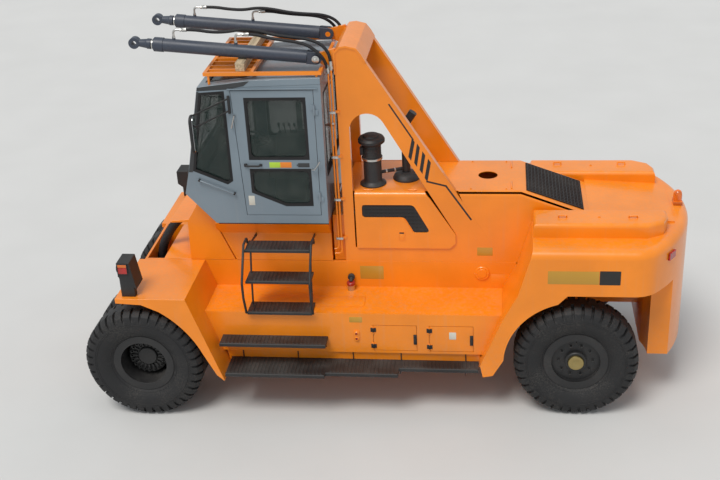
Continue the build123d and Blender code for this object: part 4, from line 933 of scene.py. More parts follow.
class HOSES_OT_build(bpy.types.Operator):
    """The four tilt hoses"""
    bl_idname = "truck.hoses"
    bl_label = "Tilt hoses"

    def execute(self, context):
        for name, route in ROUTES.items():
            side = name.rsplit("_", 1)[1]
            path = spline_points(name, route)
            points, faces = tube(path, HOSE_RADIUS, LEFT, 16)
            mesh = bpy.data.meshes.new(name)
            mesh.from_pydata(points.tolist(), [], faces)
            finish_mesh(mesh, 60)
            obj = bpy.data.objects.new(name + "_rubber", mesh)
            context.scene.collection.objects.link(obj)
            mesh.materials.append(finish("hose_rubber"))
            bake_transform(obj, "tilt_barrel_" + side, "root", start=path[0].tolist(), end=path[-1].tolist())
            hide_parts(name)
        return {"FINISHED"}


# Forms that the solids only outline: cowl, plinth, ladder, stacks, lamps, mirrors and beacon
BODY_HALF = 0.530
COWL = ((-1.052, 1.6968), (-0.848, 2.190), (-0.872, 2.325), (-0.660, 2.540), (-0.600, 2.425), (-0.497, 2.262),
        (-0.255, 2.238), (-0.255, 2.214), (-0.478, 2.222), (-0.465, 1.6968))
PLINTH_BACK = -2.312
# Height, station of the front edge and half width of each level
PLINTH = ((1.6968, -1.066, 0.530), (2.085, -0.9045, 0.530), (2.190, -0.862, 0.6243), (2.319, -0.899, 0.760),
          (2.3293, -0.902, 0.760))
SILL = ((-0.985, 0.7745), (-4.172, 0.7745), (-4.203, 0.572), (-1.028, 0.572))
LADDER_ENDS = (-1.325, -2.133)
# Height, inner and outer Y of each tread
LADDER_TREADS = ((1.361, 1.010, 1.290), (1.760, 0.950, 1.230), (2.130, 0.840, 1.120))
TREAD_THICK = 0.030
RAIL_ROUTE = ((1.272, 1.346), (1.350, 1.600), (1.350, 1.790), (1.215, 1.995), (1.075, 2.190), (0.900, 2.190),
              (0.880, 2.116))
LADDER_STAY = ((0.5305, 2.040), (0.5305, 2.085), (0.870, 2.129), (0.870, 2.105))
HOOD_TOP = 2.6505
CLEANER_PLACE = np.array((-2.838, 0.262))
CLEANER = ((0, 0), (0, 0.163), (0.014, 0.163), (0.018, 0.158), (0.040, 0.122), (0.060, 0.112), (0.330, 0.112),
           (0.335, 0.126), (0.338, 0.128), (0.359, 0.128), (0.362, 0.126), (0.367, 0.112), (0.520, 0.112),
           (0.545, 0.150), (0.556, 0.163), (0.560, 0.165), (0.592, 0.165), (0.598, 0.160), (0.618, 0.148),
           (0.628, 0.105), (0.645, 0.098), (0.648, 0.090), (0.648, 0))
CLEANER_CLAMP = ((0.336, 0.127), (0.336, 0.1295), (0.361, 0.1295), (0.361, 0.127))
SLATS = 6
EXHAUST_PLACE = np.array((-3.240, 0.090))
EXHAUST = ((0, 0), (0, 0.168), (0.018, 0.168), (0.022, 0.166), (0.055, 0.150), (0.082, 0.112), (0.094, 0.070),
           (0.096, 0.052), (0.690, 0.052))
# How far forward of the exhaust's foot and how high above it the elbow's points lie
ELBOW = ((0, 0.66), (0, 0.700), (-0.040, 0.775), (-0.105, 0.870))
SCAVENGE_HEIGHT = HOOD_TOP + 0.135
SCAVENGE_CLAMP = ((-0.009, 0.0215), (-0.009, 0.025), (0.009, 0.025), (0.009, 0.0215))
LAMP_SIDES = (1.270, 1.532)
LAMP = ((0.0, 2.150), (0.157, 2.150), (0.157, 1.965), (0.115, 1.932), (0.0, 1.843), (-0.055, 1.800))
MIRROR = (-0.860, 1.090, 3.630)
MIRROR_HALF = np.array((0.085, 0.235))
MIRROR_RIM = 0.012
DOME = ((0.044, 0), (0.044, 0.052), (0.060, 0.055), (0.120, 0.054), (0.150, 0.047), (0.168, 0.034),
        (0.177, 0.017), (0.180, 0))


def front_body():
    """Cowl and plinth, with the deck, sills and plates that close the body."""
    piece("cowl_panel", plate(COWL, on_side(-BODY_HALF), 2 * BODY_HALF), "body_orange", replaces=["cowl"],
          bevel=0.006)
    rows = [[at(front, -half, z), at(front, half, z), at(PLINTH_BACK, half, z), at(PLINTH_BACK, -half, z)]
            for z, front, half in PLINTH]
    piece("plinth_panel", surface(np.array(rows), close_columns=True, caps=True), "body_orange",
          replaces=["cab_plinth"], bevel=0.006)
    deck = slab((-0.10, -0.60), (-0.4995, 0.4995), (1.6825, 1.6962), 0.003)
    infill = both(slab((-4.296, -4.536), (0.5005, BODY_HALF), (1.272, 1.5295)))
    neck = slab((-2.335, -2.4785), (-0.500, 0.500), (1.6965, 2.322), 0.006)
    sill = both(plate(SILL, on_side(1.127), 0.060, 0.003))
    piece("body_infill", join(deck, infill, neck, sill), "body_orange")


def ladder():
    """Treads between two bent rails, with posts, foot plates and stays to the wall."""
    inset = LADDER_TREADS[0][1]
    parts = [slab(LADDER_ENDS, (inner, outer), (height - TREAD_THICK, height))
             for height, inner, outer in LADDER_TREADS]
    for end, outward in zip(LADDER_ENDS, (1, -1)):
        rail = bent([at(end + outward * 0.012, y, z) for y, z in RAIL_ROUTE], 0.035, 6)
        foot = end - outward * 0.030
        parts += [tube(rail, 0.015, (1, 0, 0), 14),
                  slab((foot - 0.03, foot + 0.03), (inset + 0.02, inset + 0.14), (1.3305, 1.3385), 0.002),
                  plate(LADDER_STAY, across(foot - 0.004), 0.008)]
        for (low, inner, _), (high, above, _) in zip(LADDER_TREADS, LADDER_TREADS[1:]):
            lower, upper = at(foot, inner + 0.05, low - 0.015), at(foot, above + 0.05, high - 0.015)
            parts.append(rod(lower, upper, 0.012, 14))
    piece("ladder_frame", join(*parts), "black_metal", SLOT_OF["ladder"], replaces=["ladder"])


def stacks():
    """The pre-cleaner, the exhaust with its elbow, the pipe between them and the clamps."""
    x, y = CLEANER_PLACE
    foot = at(x, y, HOOD_TOP)
    reach = EXHAUST_PLACE - CLEANER_PLACE
    end = CLEANER_PLACE + reach * (1 - 0.053 / np.linalg.norm(reach))
    box = slab((x + 0.145, x - 0.025), (y - 0.045, y + 0.045), (HOOD_TOP + 0.39, HOOD_TOP + 0.49), 0.006)
    scavenge = rod(at(x, y, SCAVENGE_HEIGHT), at(*end, SCAVENGE_HEIGHT), 0.022, 20)
    slats = [torus(at(x, y, HOOD_TOP + 0.385 + 0.022 * step), UP, 0.112, 0.0045, 48, 6)
             for step in range(SLATS)]
    piece("cleaner_stack", join(lathe(CLEANER, foot, UP, 64), box, scavenge, *slats), "black_metal",
          SLOT_OF["pre_cleaner"], replaces=["pre_cleaner"])
    base = at(*EXHAUST_PLACE, HOOD_TOP)
    elbow = bent([(base[0] + along, base[1], HOOD_TOP + height) for along, height in ELBOW], 0.06, 5)
    piece("exhaust_stack", join(lathe(EXHAUST, base, UP, 64), tube(elbow, 0.052, LEFT, 32)), "black_metal",
          SLOT_OF["exhaust"], replaces=["exhaust"])
    clamps = [lathe(SCAVENGE_CLAMP, at(*(CLEANER_PLACE + reach * share), SCAVENGE_HEIGHT), (*reach, 0), 24)
              for share in (0.399, 0.651)]
    piece("stack_clamps", join(*clamps, lathe(CLEANER_CLAMP, foot, UP, 48)), "bright_steel")


def lamps_mirrors_beacon():
    """Lamp housings on their posts, mirrors on their arms, and the beacon's dome."""
    housing = plate(LAMP, on_side(LAMP_SIDES[0]), LAMP_SIDES[1] - LAMP_SIDES[0])
    post = slab((0.145, -0.025), (1.445, 1.531), (1.6955, 1.960))
    piece("lamp_housings", both(join(housing, post)), "black_plastic", SLOT_OF["front_lamps"],
          replaces=["front_lamps"], bevel=0.006)
    station, y, z = MIRROR

    def head(half, radius):
        return rounded(oblong(y - half[0], y + half[0], z - half[1], z + half[1]), radius, 8)

    arms = [rod(at(-1.235, 0.775, height), at(station - 0.005, y - 0.02, height - 0.10), 0.010, 12)
            for height in (3.80, 3.95)]
    bracket = slab((-1.222, -1.252), (0.7655, 0.790), (3.765, 3.985), 0.005)
    back = plate(head(MIRROR_HALF, 0.080), across(station - 0.020), 0.045, 0.018)
    piece("mirror_heads", both(join(back, *arms, bracket)), "black_plastic", SLOT_OF["mirrors"],
          replaces=["mirrors"])
    piece("mirror_glass", both(plate(head(MIRROR_HALF - MIRROR_RIM, 0.070), across(station - 0.0215), 0.003)),
          "mirror_silver", "bright_steel")
    low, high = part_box("beacon")
    base = block((low.x, -0.080, low.z), (high.x, 0.080, low.z + 0.045), 0.006)
    dome = lathe(DOME, ((low.x + high.x) / 2, 0.0, low.z), UP, 40)
    piece("beacon_dome", join(base, dome), "amber_lens", SLOT_OF["beacon"], replaces=["beacon"])


class FORMS_OT_build(bpy.types.Operator):
    """Cowl, plinth, ladder, stacks, lamps, mirrors and beacon in their full form"""
    bl_idname = "truck.forms"
    bl_label = "Forms"

    def execute(self, context):
        front_body()
        ladder()
        stacks()
        lamps_mirrors_beacon()
        return {"FINISHED"}


# Wheels. A tyre's wall is the circle through its bead, bulge and shoulder, each (reach, radius)
TYRE_BEAD = (0.1517, 0.395)
TYRE_BULGE = (0.218, 0.545)
TYRE_SHOULDER = (0.205, 0.694)
TYRE_CENTRES = {"front": (1.382, 0.882), "rear": (1.140,)}
WALL_RINGS = ((0.425, 0.005), (0.585, 0.006), (0.605, 0.004))
TYRE_SEAT = 0.318
CROWN = ((0.0, 0.7465), (0.030, 0.7465), (0.053, 0.7465), (0.057, 0.7465), (0.095, 0.7465), (0.133, 0.7465),
         (0.138, 0.744), (0.172, 0.7205), (0.201, 0.698), (0.205, 0.694))
CROWN_FLOOR = ((0.0, 0.7465), (0.030, 0.7465), (0.053, 0.7465), (0.060, 0.716), (0.100, 0.711),
               (0.140, 0.707), (0.150, 0.700), (0.166, 0.682), (0.180, 0.662), (0.190, 0.650))
WALL_RADII = (0.684, 0.672, 0.660, 0.648, 0.636, 0.624, 0.610, 0.580, 0.550, 0.520, 0.490, 0.460, 0.430,
              0.410, 0.395)
GROOVE_DEPTHS = (0.024, 0.023, 0.021, 0.017, 0.011, 0.004)
GROOVE_HALF = (0.0195, 0.0245)
# Radius of the nuts' circle and the Y that they sit on
NUT_CIRCLE = {"front": (0.205, 1.3575), "rear": (0.205, 1.245)}
HUB_PLATE = ((1.318, 0.150), (1.318, 0.243), (1.322, 0.247), (1.330, 0.247), (1.334, 0.243), (1.334, 0.121),
             (1.366, 0.119), (1.372, 0.112), (1.372, 0.0))
CLAMP_REACH = (0.134, 0.238)
CLAMP_HALF = 0.011
CLAMP_SIDES = (1.333, 1.3575)
REAR_CAP_Y = 1.288
REAR_CAP = ((0, 0), (0, 0.096), (0.03375, 0.096), (0.04185, 0.0912), (0.045, 0.08064), (0.045, 0.048),
            (0.0405, 0.04032), (0.0405, 0))
REAR_COLLAR = ((-0.02, 0.10), (-0.02, 0.13), (0.008, 0.13), (0.016, 0.122), (0.016, 0.10))


def wall_reach(radius):
    """How far a tyre's wall stands out from its middle at a radius."""
    (x1, y1), (x2, y2), (x3, y3) = TYRE_BEAD, TYRE_BULGE, TYRE_SHOULDER
    system = 2 * np.array(((x2 - x1, y2 - y1), (x3 - x1, y3 - y1)))
    squares = np.array((x2 ** 2 - x1 ** 2 + y2 ** 2 - y1 ** 2, x3 ** 2 - x1 ** 2 + y3 ** 2 - y1 ** 2))
    centre = np.linalg.solve(system, squares)
    size = np.hypot(x1 - centre[0], y1 - centre[1])
    return centre[0] + sqrt(size ** 2 - (radius - centre[1]) ** 2)


def tyre(centre, hub, sign, lugs):
    """A tyre whose middle is at a Y: half sections at each side of the crown, turned round the hub,
    with the shoulders cut by grooves that are half a pitch apart on the two sides."""
    wall = [(wall_reach(radius), radius) for radius in WALL_RADII]
    depths = GROOVE_DEPTHS + (0,) * len(WALL_RADII)
    floor = [(side - depth, radius) for (side, radius), depth in zip(wall, depths)]
    ends = [(TYRE_BEAD[0], TYRE_SEAT)]
    top = np.array(list(CROWN) + wall + ends)
    low = np.array(list(CROWN_FLOOR) + floor + ends)
    pitch = 2 * pi / lugs
    inner, outer = GROOVE_HALF
    # Angle, then 1 where the right and the left shoulder stand at full height and 0 in their groove
    steps = [(-outer, 1, 1), (-inner, 0, 1), (inner, 0, 1), (outer, 1, 1), (pitch / 2 - outer, 1, 1),
             (pitch / 2 - inner, 1, 0), (pitch / 2 + inner, 1, 0), (pitch / 2 + outer, 1, 1)]
    turns = [(index * pitch + turn, a, b) for index in range(lugs) for turn, a, b in steps]
    angles, one, two = np.array(turns).T
    one, two = one[:, None, None], two[:, None, None]
    right = one * top + (1 - one) * low
    left = (two * top + (1 - two) * low) * (-1, 1)
    section = np.concatenate([left[:, ::-1], right[:, 1:]], 1)
    grid = np.stack([hub[0] + section[..., 1] * np.cos(angles)[:, None], sign * (centre + section[..., 0]),
                     hub[2] + section[..., 1] * np.sin(angles)[:, None]], -1)
    return surface(grid, close_rows=True, close_columns=True)


def dress_wheel(end, side, sign, sizes):
    """The tyres of a wheel with the rings on their walls, and all that shows on its hub."""
    body = f"{end}_wheel_{side}"
    tyres = {"front": "front_tyres_", "rear": "rear_tyre_"}[end] + side
    out = (0, sign, 0)
    hub = at({"front": 0.0, "rear": REAR_AXLE - AXLE}[end], 0, AXLE_HEIGHT)

    def near(forward, y, up=0.0):
        return (hub[0] + forward, sign * y, hub[2] + up)

    treads = [tyre(centre, hub, sign, sizes.lugs) for centre in TYRE_CENTRES[end]]
    piece(tyres + "_tread", join(*treads), "tyre_rubber", SLOT_OF[tyres], body, [tyres], smooth=28)
    rings = [torus(near(0, centre + wall * (wall_reach(radius) - thick * 0.25)), out, radius, thick, 72, 6)
             for centre in TYRE_CENTRES[end] for wall in (1, -1) for radius, thick in WALL_RINGS]
    piece(tyres + "_rings", join(*rings), "tyre_rubber", body=body)

    radius, y = NUT_CIRCLE[end]
    count = sizes.front_nuts if end == "front" else sizes.rear_nuts
    turns = np.arange(count) * 2 * pi / count
    if end == "front":
        (inner, outer), (low, high) = CLAMP_REACH, CLAMP_SIDES
        jaw = block(near(inner, low, -CLAMP_HALF), near(outer, high, CLAMP_HALF), 0.005)
        clamps = join(lathe(HUB_PLATE, hub, out, 64), spun(jaw, hub, out, turns))
        piece(body + "_clamps", clamps, "dark_metal", body=body)
    foot = near(radius, y)
    nut = join(bolt(foot, out, 0.016, 0.02), rod(foot, near(radius, y + 0.034), 0.009, 8))
    piece(body + "_nuts", spun(nut, hub, out, turns), "dull_steel", "dark_metal", body)
    middle = TYRE_CENTRES[end][0]
    valve = rod(near(0, middle + 0.10, 0.30), near(0, middle + 0.17, 0.27), 0.006, 8)
    piece(body + "_valve", valve, "dull_steel", "bright_steel", body)
    if end == "rear":
        cap = near(0, REAR_CAP_Y)
        piece(body + "_cap", lathe(REAR_CAP, cap, out, 48), "brass", "bright_steel", body)
        piece(body + "_collar", lathe(REAR_COLLAR, cap, out, 48), "dark_metal", body=body)


class WHEELS_OT_build(bpy.types.Operator):
    """Tyres with lugs, rings on their walls, hub plates, nuts, hub caps and valves"""
    bl_idname = "truck.wheels"
    bl_label = "Wheel details"

    def execute(self, context):
        for side, sign in SIDES:
            for end in ("front", "rear"):
                dress_wheel(end, side, sign, context.scene.truck_sizes)
        return {"FINISHED"}


# Cab: the outlines of its openings, as stations and heights
UPPER_LIGHT = ((-1.413, 3.171), (-2.150, 3.171), (-2.150, 3.955), (-1.413, 3.955))
LOWER_LIGHT = ((-1.409, 3.056), (-2.158, 3.056), (-2.158, 2.566), (-1.821, 2.562), (-1.407, 2.743))
QUARTER_LIGHT = ((-0.880, 4.020), (-1.190, 4.040), (-1.190, 2.895), (-1.120, 2.850), (-0.700, 3.030))
QUARTER_ROUND = (0.040, 0.055, 0.060, 0.060, 0.035)
RIGHT_LIGHT = (-1.340, -2.200, 2.900, 3.960)
REAR_LIGHT = (-0.620, 0.620, 2.900, 3.960)
LIGHT_ROUND = 0.090
LIGHT_CORNER = 0.004
GLASS_LINE = ((-0.649, 3.020), (-0.858, 4.036))
SCREEN_HALF = 0.690
SCREEN_HEIGHTS = (3.060, 4.000)
ROOF_LINE = ((-0.868, 4.087), (-1.508, 4.166))
ROOF_PANE_HALF = 0.610
ROOF_PANE_STATIONS = (-0.940, -1.440)
PANE_SINK = 0.0098
PANE_SEAL = 0.0115
CAB_REAR = -2.337
CAB_HALF = 0.765
DOOR_GLASS_FACE = 0.745
SIDE_GLASS_FACE = 0.7425
SEAL_PROUD = 0.0015
FRONT_TRIM = ((-0.886, 4.032), (-0.703, 3.012), (-0.6515, 3.012), (-0.8605, 4.032))
BROW = ((-0.872, 4.084), (-0.862, 4.044), (-1.215, 4.058), (-1.430, 4.098), (-1.508, 4.160))
HANDLE_HEIGHT = 3.105
# Piece, finish, slot, stations, heights and how far each label stands out
DOOR_LABELS = (("door_label_lime", "label_lime", "tail_lens", (-1.655, -1.788), (3.070, 3.141), 0.0012),
               ("door_label_orange", "label_amber", "tail_lens", (-1.788, -1.925), (3.070, 3.141), 0.0010),
               ("door_label_pale", "white_plate", "cab_blue_grey", (-1.360, -1.435), (2.575, 2.700), 0.0012))
HOOK_ROUTE = ((-2.170, -0.002, 3.055), (-2.176, 0.035, 3.056), (-2.205, 0.045, 3.060), (-2.250, 0.045, 3.120),
              (-2.275, 0.045, 3.165))
GRAB_ROUTE = ((-1.292, -0.002, 3.745), (-1.290, 0.040, 3.742), (-1.246, 0.040, 3.598),
              (-1.244, -0.002, 3.595))
LEVERS = 4
LEVER_PITCH = 0.07


def sloped(low, high):
    """The place of an outline of (y, distance up the slope) on a plane that rises backwards between
    two points of the side view; height is outwards."""
    low, high = np.array(low), np.array(high)
    rise = (high - low) / np.linalg.norm(high - low)
    return in_plane(at(low[0], 0, low[1]), (0, 1, 0), (rise[0], 0, rise[1]))


def up_slope(line, value, axis):
    """The distance up a sloped line at which it reaches a station (axis 0) or a height (axis 1)."""
    low, high = np.array(line[0]), np.array(line[1])
    return (value - low[axis]) / (high - low)[axis] * np.linalg.norm(high - low)


def window_seals(width):
    """The seals round the panes of the door and of the cab."""
    def seal(points, place, depth, radius=LIGHT_ROUND):
        return band(rounded(points, LIGHT_CORNER, 6), width, place, depth, rounded(points, radius, 6))

    def pane_seal(line, half, values, axis, wide):
        low, high = (up_slope(line, value, axis) for value in values)
        face = sloped(*line)

        def sunk(outline, height):
            return face(outline, height - PANE_SINK)

        return band(oblong(-half, half, low, high), wide, sunk, PANE_SEAL)

    depth = CAB_HALF - DOOR_GLASS_FACE + SEAL_PROUD
    seals = [seal(points, on_side(DOOR_GLASS_FACE), depth) for points in (UPPER_LIGHT, LOWER_LIGHT)]
    piece("door_seals", join(*seals), "seal_rubber", "hose_rubber", "cab_door", smooth=30)
    depth = CAB_HALF - SIDE_GLASS_FACE + SEAL_PROUD
    back = in_plane(at(CAB_REAR + 0.0225, 0, 0), (0, -1, 0), (0, 0, 1))
    seals = [both(seal(QUARTER_LIGHT, on_side(SIDE_GLASS_FACE), depth, QUARTER_ROUND)),
             seal(oblong(*RIGHT_LIGHT), on_side(SIDE_GLASS_FACE, -1), depth),
             seal(oblong(*REAR_LIGHT), back, 0.024),
             pane_seal(GLASS_LINE, SCREEN_HALF, SCREEN_HEIGHTS, 1, width + 0.015),
             pane_seal(ROOF_LINE, ROOF_PANE_HALF, ROOF_PANE_STATIONS, 0, width)]
    piece("cab_seals", join(*seals), "seal_rubber", "hose_rubber", smooth=30)


def cab_trims():
    """Dark strips beside the front glass, the foot seal and the rain gutters."""
    strips = both(join(*[plate(points, on_side(CAB_HALF - 0.0005), 0.0025) for points in (FRONT_TRIM, BROW)]))
    post = slab((-1.735, -1.805), (-0.7505, -0.7655), (2.905, 3.955), 0.003)
    piece("cab_trims", join(strips, post), "cab_dark", "black_plastic", smooth=30)
    foot = both(slab((-0.95, -2.33), (0.752, 0.7672), (2.3185, 2.3312), 0.003))
    piece("cab_foot_seal", foot, "seal_rubber", "hose_rubber")
    gutters = both(slab((-1.23, -2.30), (CAB_HALF - 0.001, 0.785), (4.058, 4.070)))
    piece("cab_gutters", gutters, "cab_blue_grey")


def door_fittings():
    """Handle, latch, labels and hook on the door, and the grab handle and rail beside it."""
    door, low = CAB_HALF, CAB_HALF - 0.001
    bow = [at(station, door + out, HANDLE_HEIGHT)
           for station, out in ((-1.375, 0.008), (-1.39, 0.040), (-1.53, 0.040), (-1.552, 0.008))]
    handle = join(slab((-1.345, -1.385), (low, door + 0.012), (3.084, 3.126), 0.005),
                  slab((-1.535, -1.568), (low, door + 0.012), (3.088, 3.122), 0.005),
                  rod(*(at(-1.366, door + out, HANDLE_HEIGHT) for out in (0.01, 0.024)), 0.017, 20, 0.003),
                  tube(bow, 0.012, UP, 12))
    piece("door_handle", handle, "black_plastic", body="cab_door")
    latch = join(slab((-2.005, -2.142), (low, door + 0.006), (3.078, 3.130)),
                 slab((-1.99, -2.00), (low, door + 0.010), (3.096, 3.112), 0.002))
    piece("door_latch", latch, "cab_dark", "black_plastic", "cab_door")
    for name, look, slot, stations, heights, proud in DOOR_LABELS:
        piece(name, slab(stations, (door - 0.0004, door + proud), heights, 0.001), look, slot, "cab_door")
    hook, grab = ([at(station, door + out, z) for station, out, z in route]
                  for route in (HOOK_ROUTE, GRAB_ROUTE))
    piece("door_hook", tube(hook, 0.007, UP, 10), "bright_steel", body="cab_door")
    piece("cab_grab", tube(grab, 0.008, (1, 0, 0.3), 10), "bright_steel")
    rail = rod(at(-0.760, door + 0.032, 2.922), at(-1.212, door + 0.032, 2.731), 0.009, 12, 0.002)
    feet = [rod(at(x, door - 0.002, z), at(x, door + 0.044, z), 0.013, 14, 0.003)
            for x, z in ((-0.775, 2.9155), (-1.197, 2.7375))]
    piece("cab_rail", rail, "cab_blue_grey")
    piece("cab_rail_feet", join(*feet), "black_plastic")


def wiper():
    """The wiper's pivot, arm and blade on the front glass."""
    screen = sloped(*GLASS_LINE)

    def on_screen(y, z, height):
        return screen(np.array(((y, up_slope(GLASS_LINE, z, 1)),)), height)[0]

    pivot, tip = on_screen(0.12, 3.035, 0.012), on_screen(-0.20, 3.62, 0.020)
    blade = [on_screen(y, z, 0.010) for y, z in ((-0.12, 3.36), (-0.27, 3.86))]
    part = join(rod(pivot - (0.01, 0, 0.002), pivot + (0.025, 0, 0.005), 0.020, 16, 0.004),
                tube([pivot + (0.015, 0, 0), tip], 0.007, (0, 1, 0.3), 8), tube(blade, 0.008, (1, 0, 0), 8))
    piece("wiper", part, "black_plastic")


def cab_inside():
    """The consoles, the armrest, the headrest and the levers that show through the glass."""
    inside = join(slab((-0.86, -1.02), (-0.66, 0.66), (2.46, 3.02), 0.03),
                  slab((-1.50, -2.22), (-0.66, -0.40), (2.46, 3.02), 0.03),
                  slab((-1.55, -1.95), (0.34, 0.42), (2.92, 2.98), 0.02),
                  slab((-2.08, -2.20), (-0.34, 0.34), (3.30, 3.42), 0.03))
    piece("cab_console", inside, "cab_trim", "black_plastic")
    levers = []
    for step in range(LEVERS):
        back = step * LEVER_PITCH
        levers += [rod(at(-1.56 - back, -0.52, 3.0), at(-1.54 - back, -0.50, 3.14), 0.007, 8),
                   rod(at(-1.542 - back, -0.502, 3.12), at(-1.535 - back, -0.495, 3.17), 0.016, 12, 0.006)]
    piece("cab_levers", join(*levers), "black_plastic")


class CAB_OT_build(bpy.types.Operator):
    """Window seals, handles, rails, wiper and labels of the cab"""
    bl_idname = "truck.cab"
    bl_label = "Cab details"

    def execute(self, context):
        window_seals(context.scene.truck_sizes.seal_width)
        cab_trims()
        door_fittings()
        wiper()
        cab_inside()
        return {"FINISHED"}


# Treads: front and rear station, depth in Y from inner to outer, and the height of the upper face
STEP_RIBS = ((-0.970, -2.300, 1.2203, 1.450, 1.000), (-1.045, -2.287, 1.190, 1.600, 0.660),
             (-2.287, -3.186, 1.190, 1.540, 0.660), (-3.186, -4.150, 1.190, 1.400, 0.660))
LADDER_RIBS = tuple((*LADDER_ENDS, inner, outer, height) for height, inner, outer in LADDER_TREADS)
RIB_HEIGHT = 0.006
RIB_MARGIN = 0.02


def ribs(treads, pitch):
    """Cross ribs over treads, each with a bar along its outer edge."""
    parts = []
    for front, back, inner, outer, height in treads:
        heights = (height - 0.002, height + RIB_HEIGHT)
        room = front - back - 2 * RIB_MARGIN
        count = int(room / pitch)
        start = front - RIB_MARGIN - (room - (count - 0.5) * pitch) / 2
        for index in range(count):
            x = start - index * pitch
            parts.append(slab((x - pitch * 0.45, x), (inner + 0.015, outer - 0.03), heights, 0.003, 1))
        parts.append(slab((front - 0.004, back + 0.004), (outer - 0.018, outer - 0.003), heights, 0.003, 1))
    return join(*parts)


class TREADS_OT_build(bpy.types.Operator):
    """Cross ribs on the steps and the ladder"""
    bl_idname = "truck.treads"
    bl_label = "Treads"

    def execute(self, context):
        pitch = context.scene.truck_sizes.rib_pitch
        piece("steps_ribs", both(ribs(STEP_RIBS, pitch)), "black_metal")
        piece("ladder_ribs", ribs(LADDER_RIBS, pitch), "black_metal")
        return {"FINISHED"}


# Fittings of the sides: the Y of each wall's face, then places as stations and heights
WALL = 0.530
TOWER_FACE = 0.525
BOX_FACE = 1.220
REAR_FACE = 1.380
PLATFORM = 1.330
# Piece, finish, slot, stations and heights of the outline, wall and side
OCHRE, BLACK = ("plate_ochre", "body_orange"), ("stripe_black", "black_plastic")
PLATES = (("ochre_plate_wall", OCHRE, (-2.651, -2.949, 1.441, 1.625), WALL, 1),
          ("ochre_plate_tower", OCHRE, (-4.128, -4.318, 1.786, 1.898), TOWER_FACE, 1),
          ("ochre_plate_box", OCHRE, (-2.578, -2.738, 1.205, 1.280), BOX_FACE, 1),
          ("ochre_plate_rear_left", OCHRE, (-4.964, -5.551, 1.862, 2.032), REAR_FACE, 1),
          ("black_plate_rear_left", BLACK, (-5.556, -5.795, 1.856, 2.038), REAR_FACE, 1),
          ("ochre_plate_rear_right", OCHRE, (-4.964, -5.551, 1.862, 2.032), REAR_FACE, -1),
          ("black_plate_rear_right", BLACK, (-5.556, -5.795, 1.856, 2.038), REAR_FACE, -1))
PLATE_THICK = 0.002
STRIPE_FALL = (-0.524, -0.851)
STRIPE_LINE = ((-3.094, 3.781), (-3.374, 3.326))
STRIPE_BARS = (((-3.374, 3.326), (-3.324, 3.086)), ((-3.433, 3.256), (-3.392, 3.007)),
               ((-3.496, 3.156), (-3.456, 2.913)), ((-3.561, 3.061), (-3.514, 2.808)))
STRIPE_TAIL = ((-3.517, 2.790), (-3.753, 2.729), (-4.058, 2.275))
HINGE_STATIONS = {"front": -2.870, "rear": -3.560}
HINGE_HEIGHTS = (0.875, 1.105)
HINGE_Y = 1.2295
LATCH_STATIONS = {"front": -3.383, "rear": -4.073}
SOCKET = (-2.6605, (0.980, 1.052))
ISOLATOR = -2.536
COVER_CENTRE = (-4.187, 1.543)
ROUND_COVER = ((0, 0), (0, 0.093), (0.012, 0.093), (0.018, 0.087), (0.018, 0.062), (0.026, 0.056), (0.026, 0))
SOCKET_RIM = ((0, 0.016), (0, 0.028), (0.009, 0.028), (0.012, 0.025), (0.012, 0.016))
ISOLATOR_BASE = ((0, 0), (0, 0.046), (0.068, 0.046), (0.074, 0.040), (0.074, 0))
ISOLATOR_COLLAR = ((0.072, 0), (0.072, 0.050), (0.078, 0.053), (0.108, 0.053), (0.114, 0.047), (0.114, 0))
ISOLATOR_KNOB = ((0, 0), (0, 0.040), (0.012, 0.044), (0.040, 0.044), (0.048, 0.036), (0.048, 0))


def stripes():
    """The black line, the four bars and the line down to the hood, on both sides of the tower."""
    face = on_side(TOWER_FACE - 0.0005)
    parts = [strip(*STRIPE_LINE, 0.009, (-STRIPE_FALL[1], STRIPE_FALL[0]), face, 0.0012)]
    parts += [strip(top, foot, 0.031, STRIPE_FALL, face, 0.0014) for top, foot in STRIPE_BARS]
    tail = [at(x, TOWER_FACE - 0.0004, z) for x, z in STRIPE_TAIL]
    parts.append(carry(oblong(-0.011, 0.011, -0.0004, 0.0012), tail, LEFT))
    piece("tower_stripes", both(join(*parts)), "stripe_black", "black_plastic", smooth=30)


def locker_hardware():
    """Hinges and latches of the four locker doors, and the pale plate on one of them."""
    proud = (BOX_FACE + 0.0003, BOX_FACE + 0.008)
    for side, sign in SIDES:
        for place, station in HINGE_STATIONS.items():
            def leaves(way):
                stations = (station + way * 0.008, station + way * 0.034)
                return [slab(stations, proud, (z - 0.030, z + 0.030), 0.003) for z in HINGE_HEIGHTS]

            barrel = [rod(at(station, HINGE_Y, z - 0.031), at(station, HINGE_Y, z + 0.031), 0.0105, 14, 0.002)
                      for z in HINGE_HEIGHTS]
            latch = LATCH_STATIONS[place]
            low, middle = BOX_FACE - 0.001, BOX_FACE + 0.008
            paddle = [slab((latch + 0.020, latch - 0.020), (low, BOX_FACE + 0.010), (0.905, 1.045), 0.005),
                      slab((latch + 0.011, latch - 0.011), (middle, BOX_FACE + 0.020), (0.915, 1.000), 0.005),
                      rod(at(latch, middle, 1.020), at(latch, BOX_FACE + 0.016, 1.020), 0.010, 14, 0.002)]
            body = f"locker_door_{place}_{side}"
            moving = join(*leaves(-1), *barrel, *paddle)
            piece(body + "_hardware", to_side(moving, sign), "black_plastic", body=body)
            piece(body + "_hinge_fixed", to_side(join(*leaves(1)), sign), "black_plastic")
    outline = rounded(oblong(-3.800, -3.885, 0.985, 1.085), 0.006, 3)
    piece("locker_plate_pale", plate(outline, on_side(BOX_FACE - 0.0003), PLATE_THICK, 0.0005), "white_plate",
          "body_orange", "locker_door_rear_left")


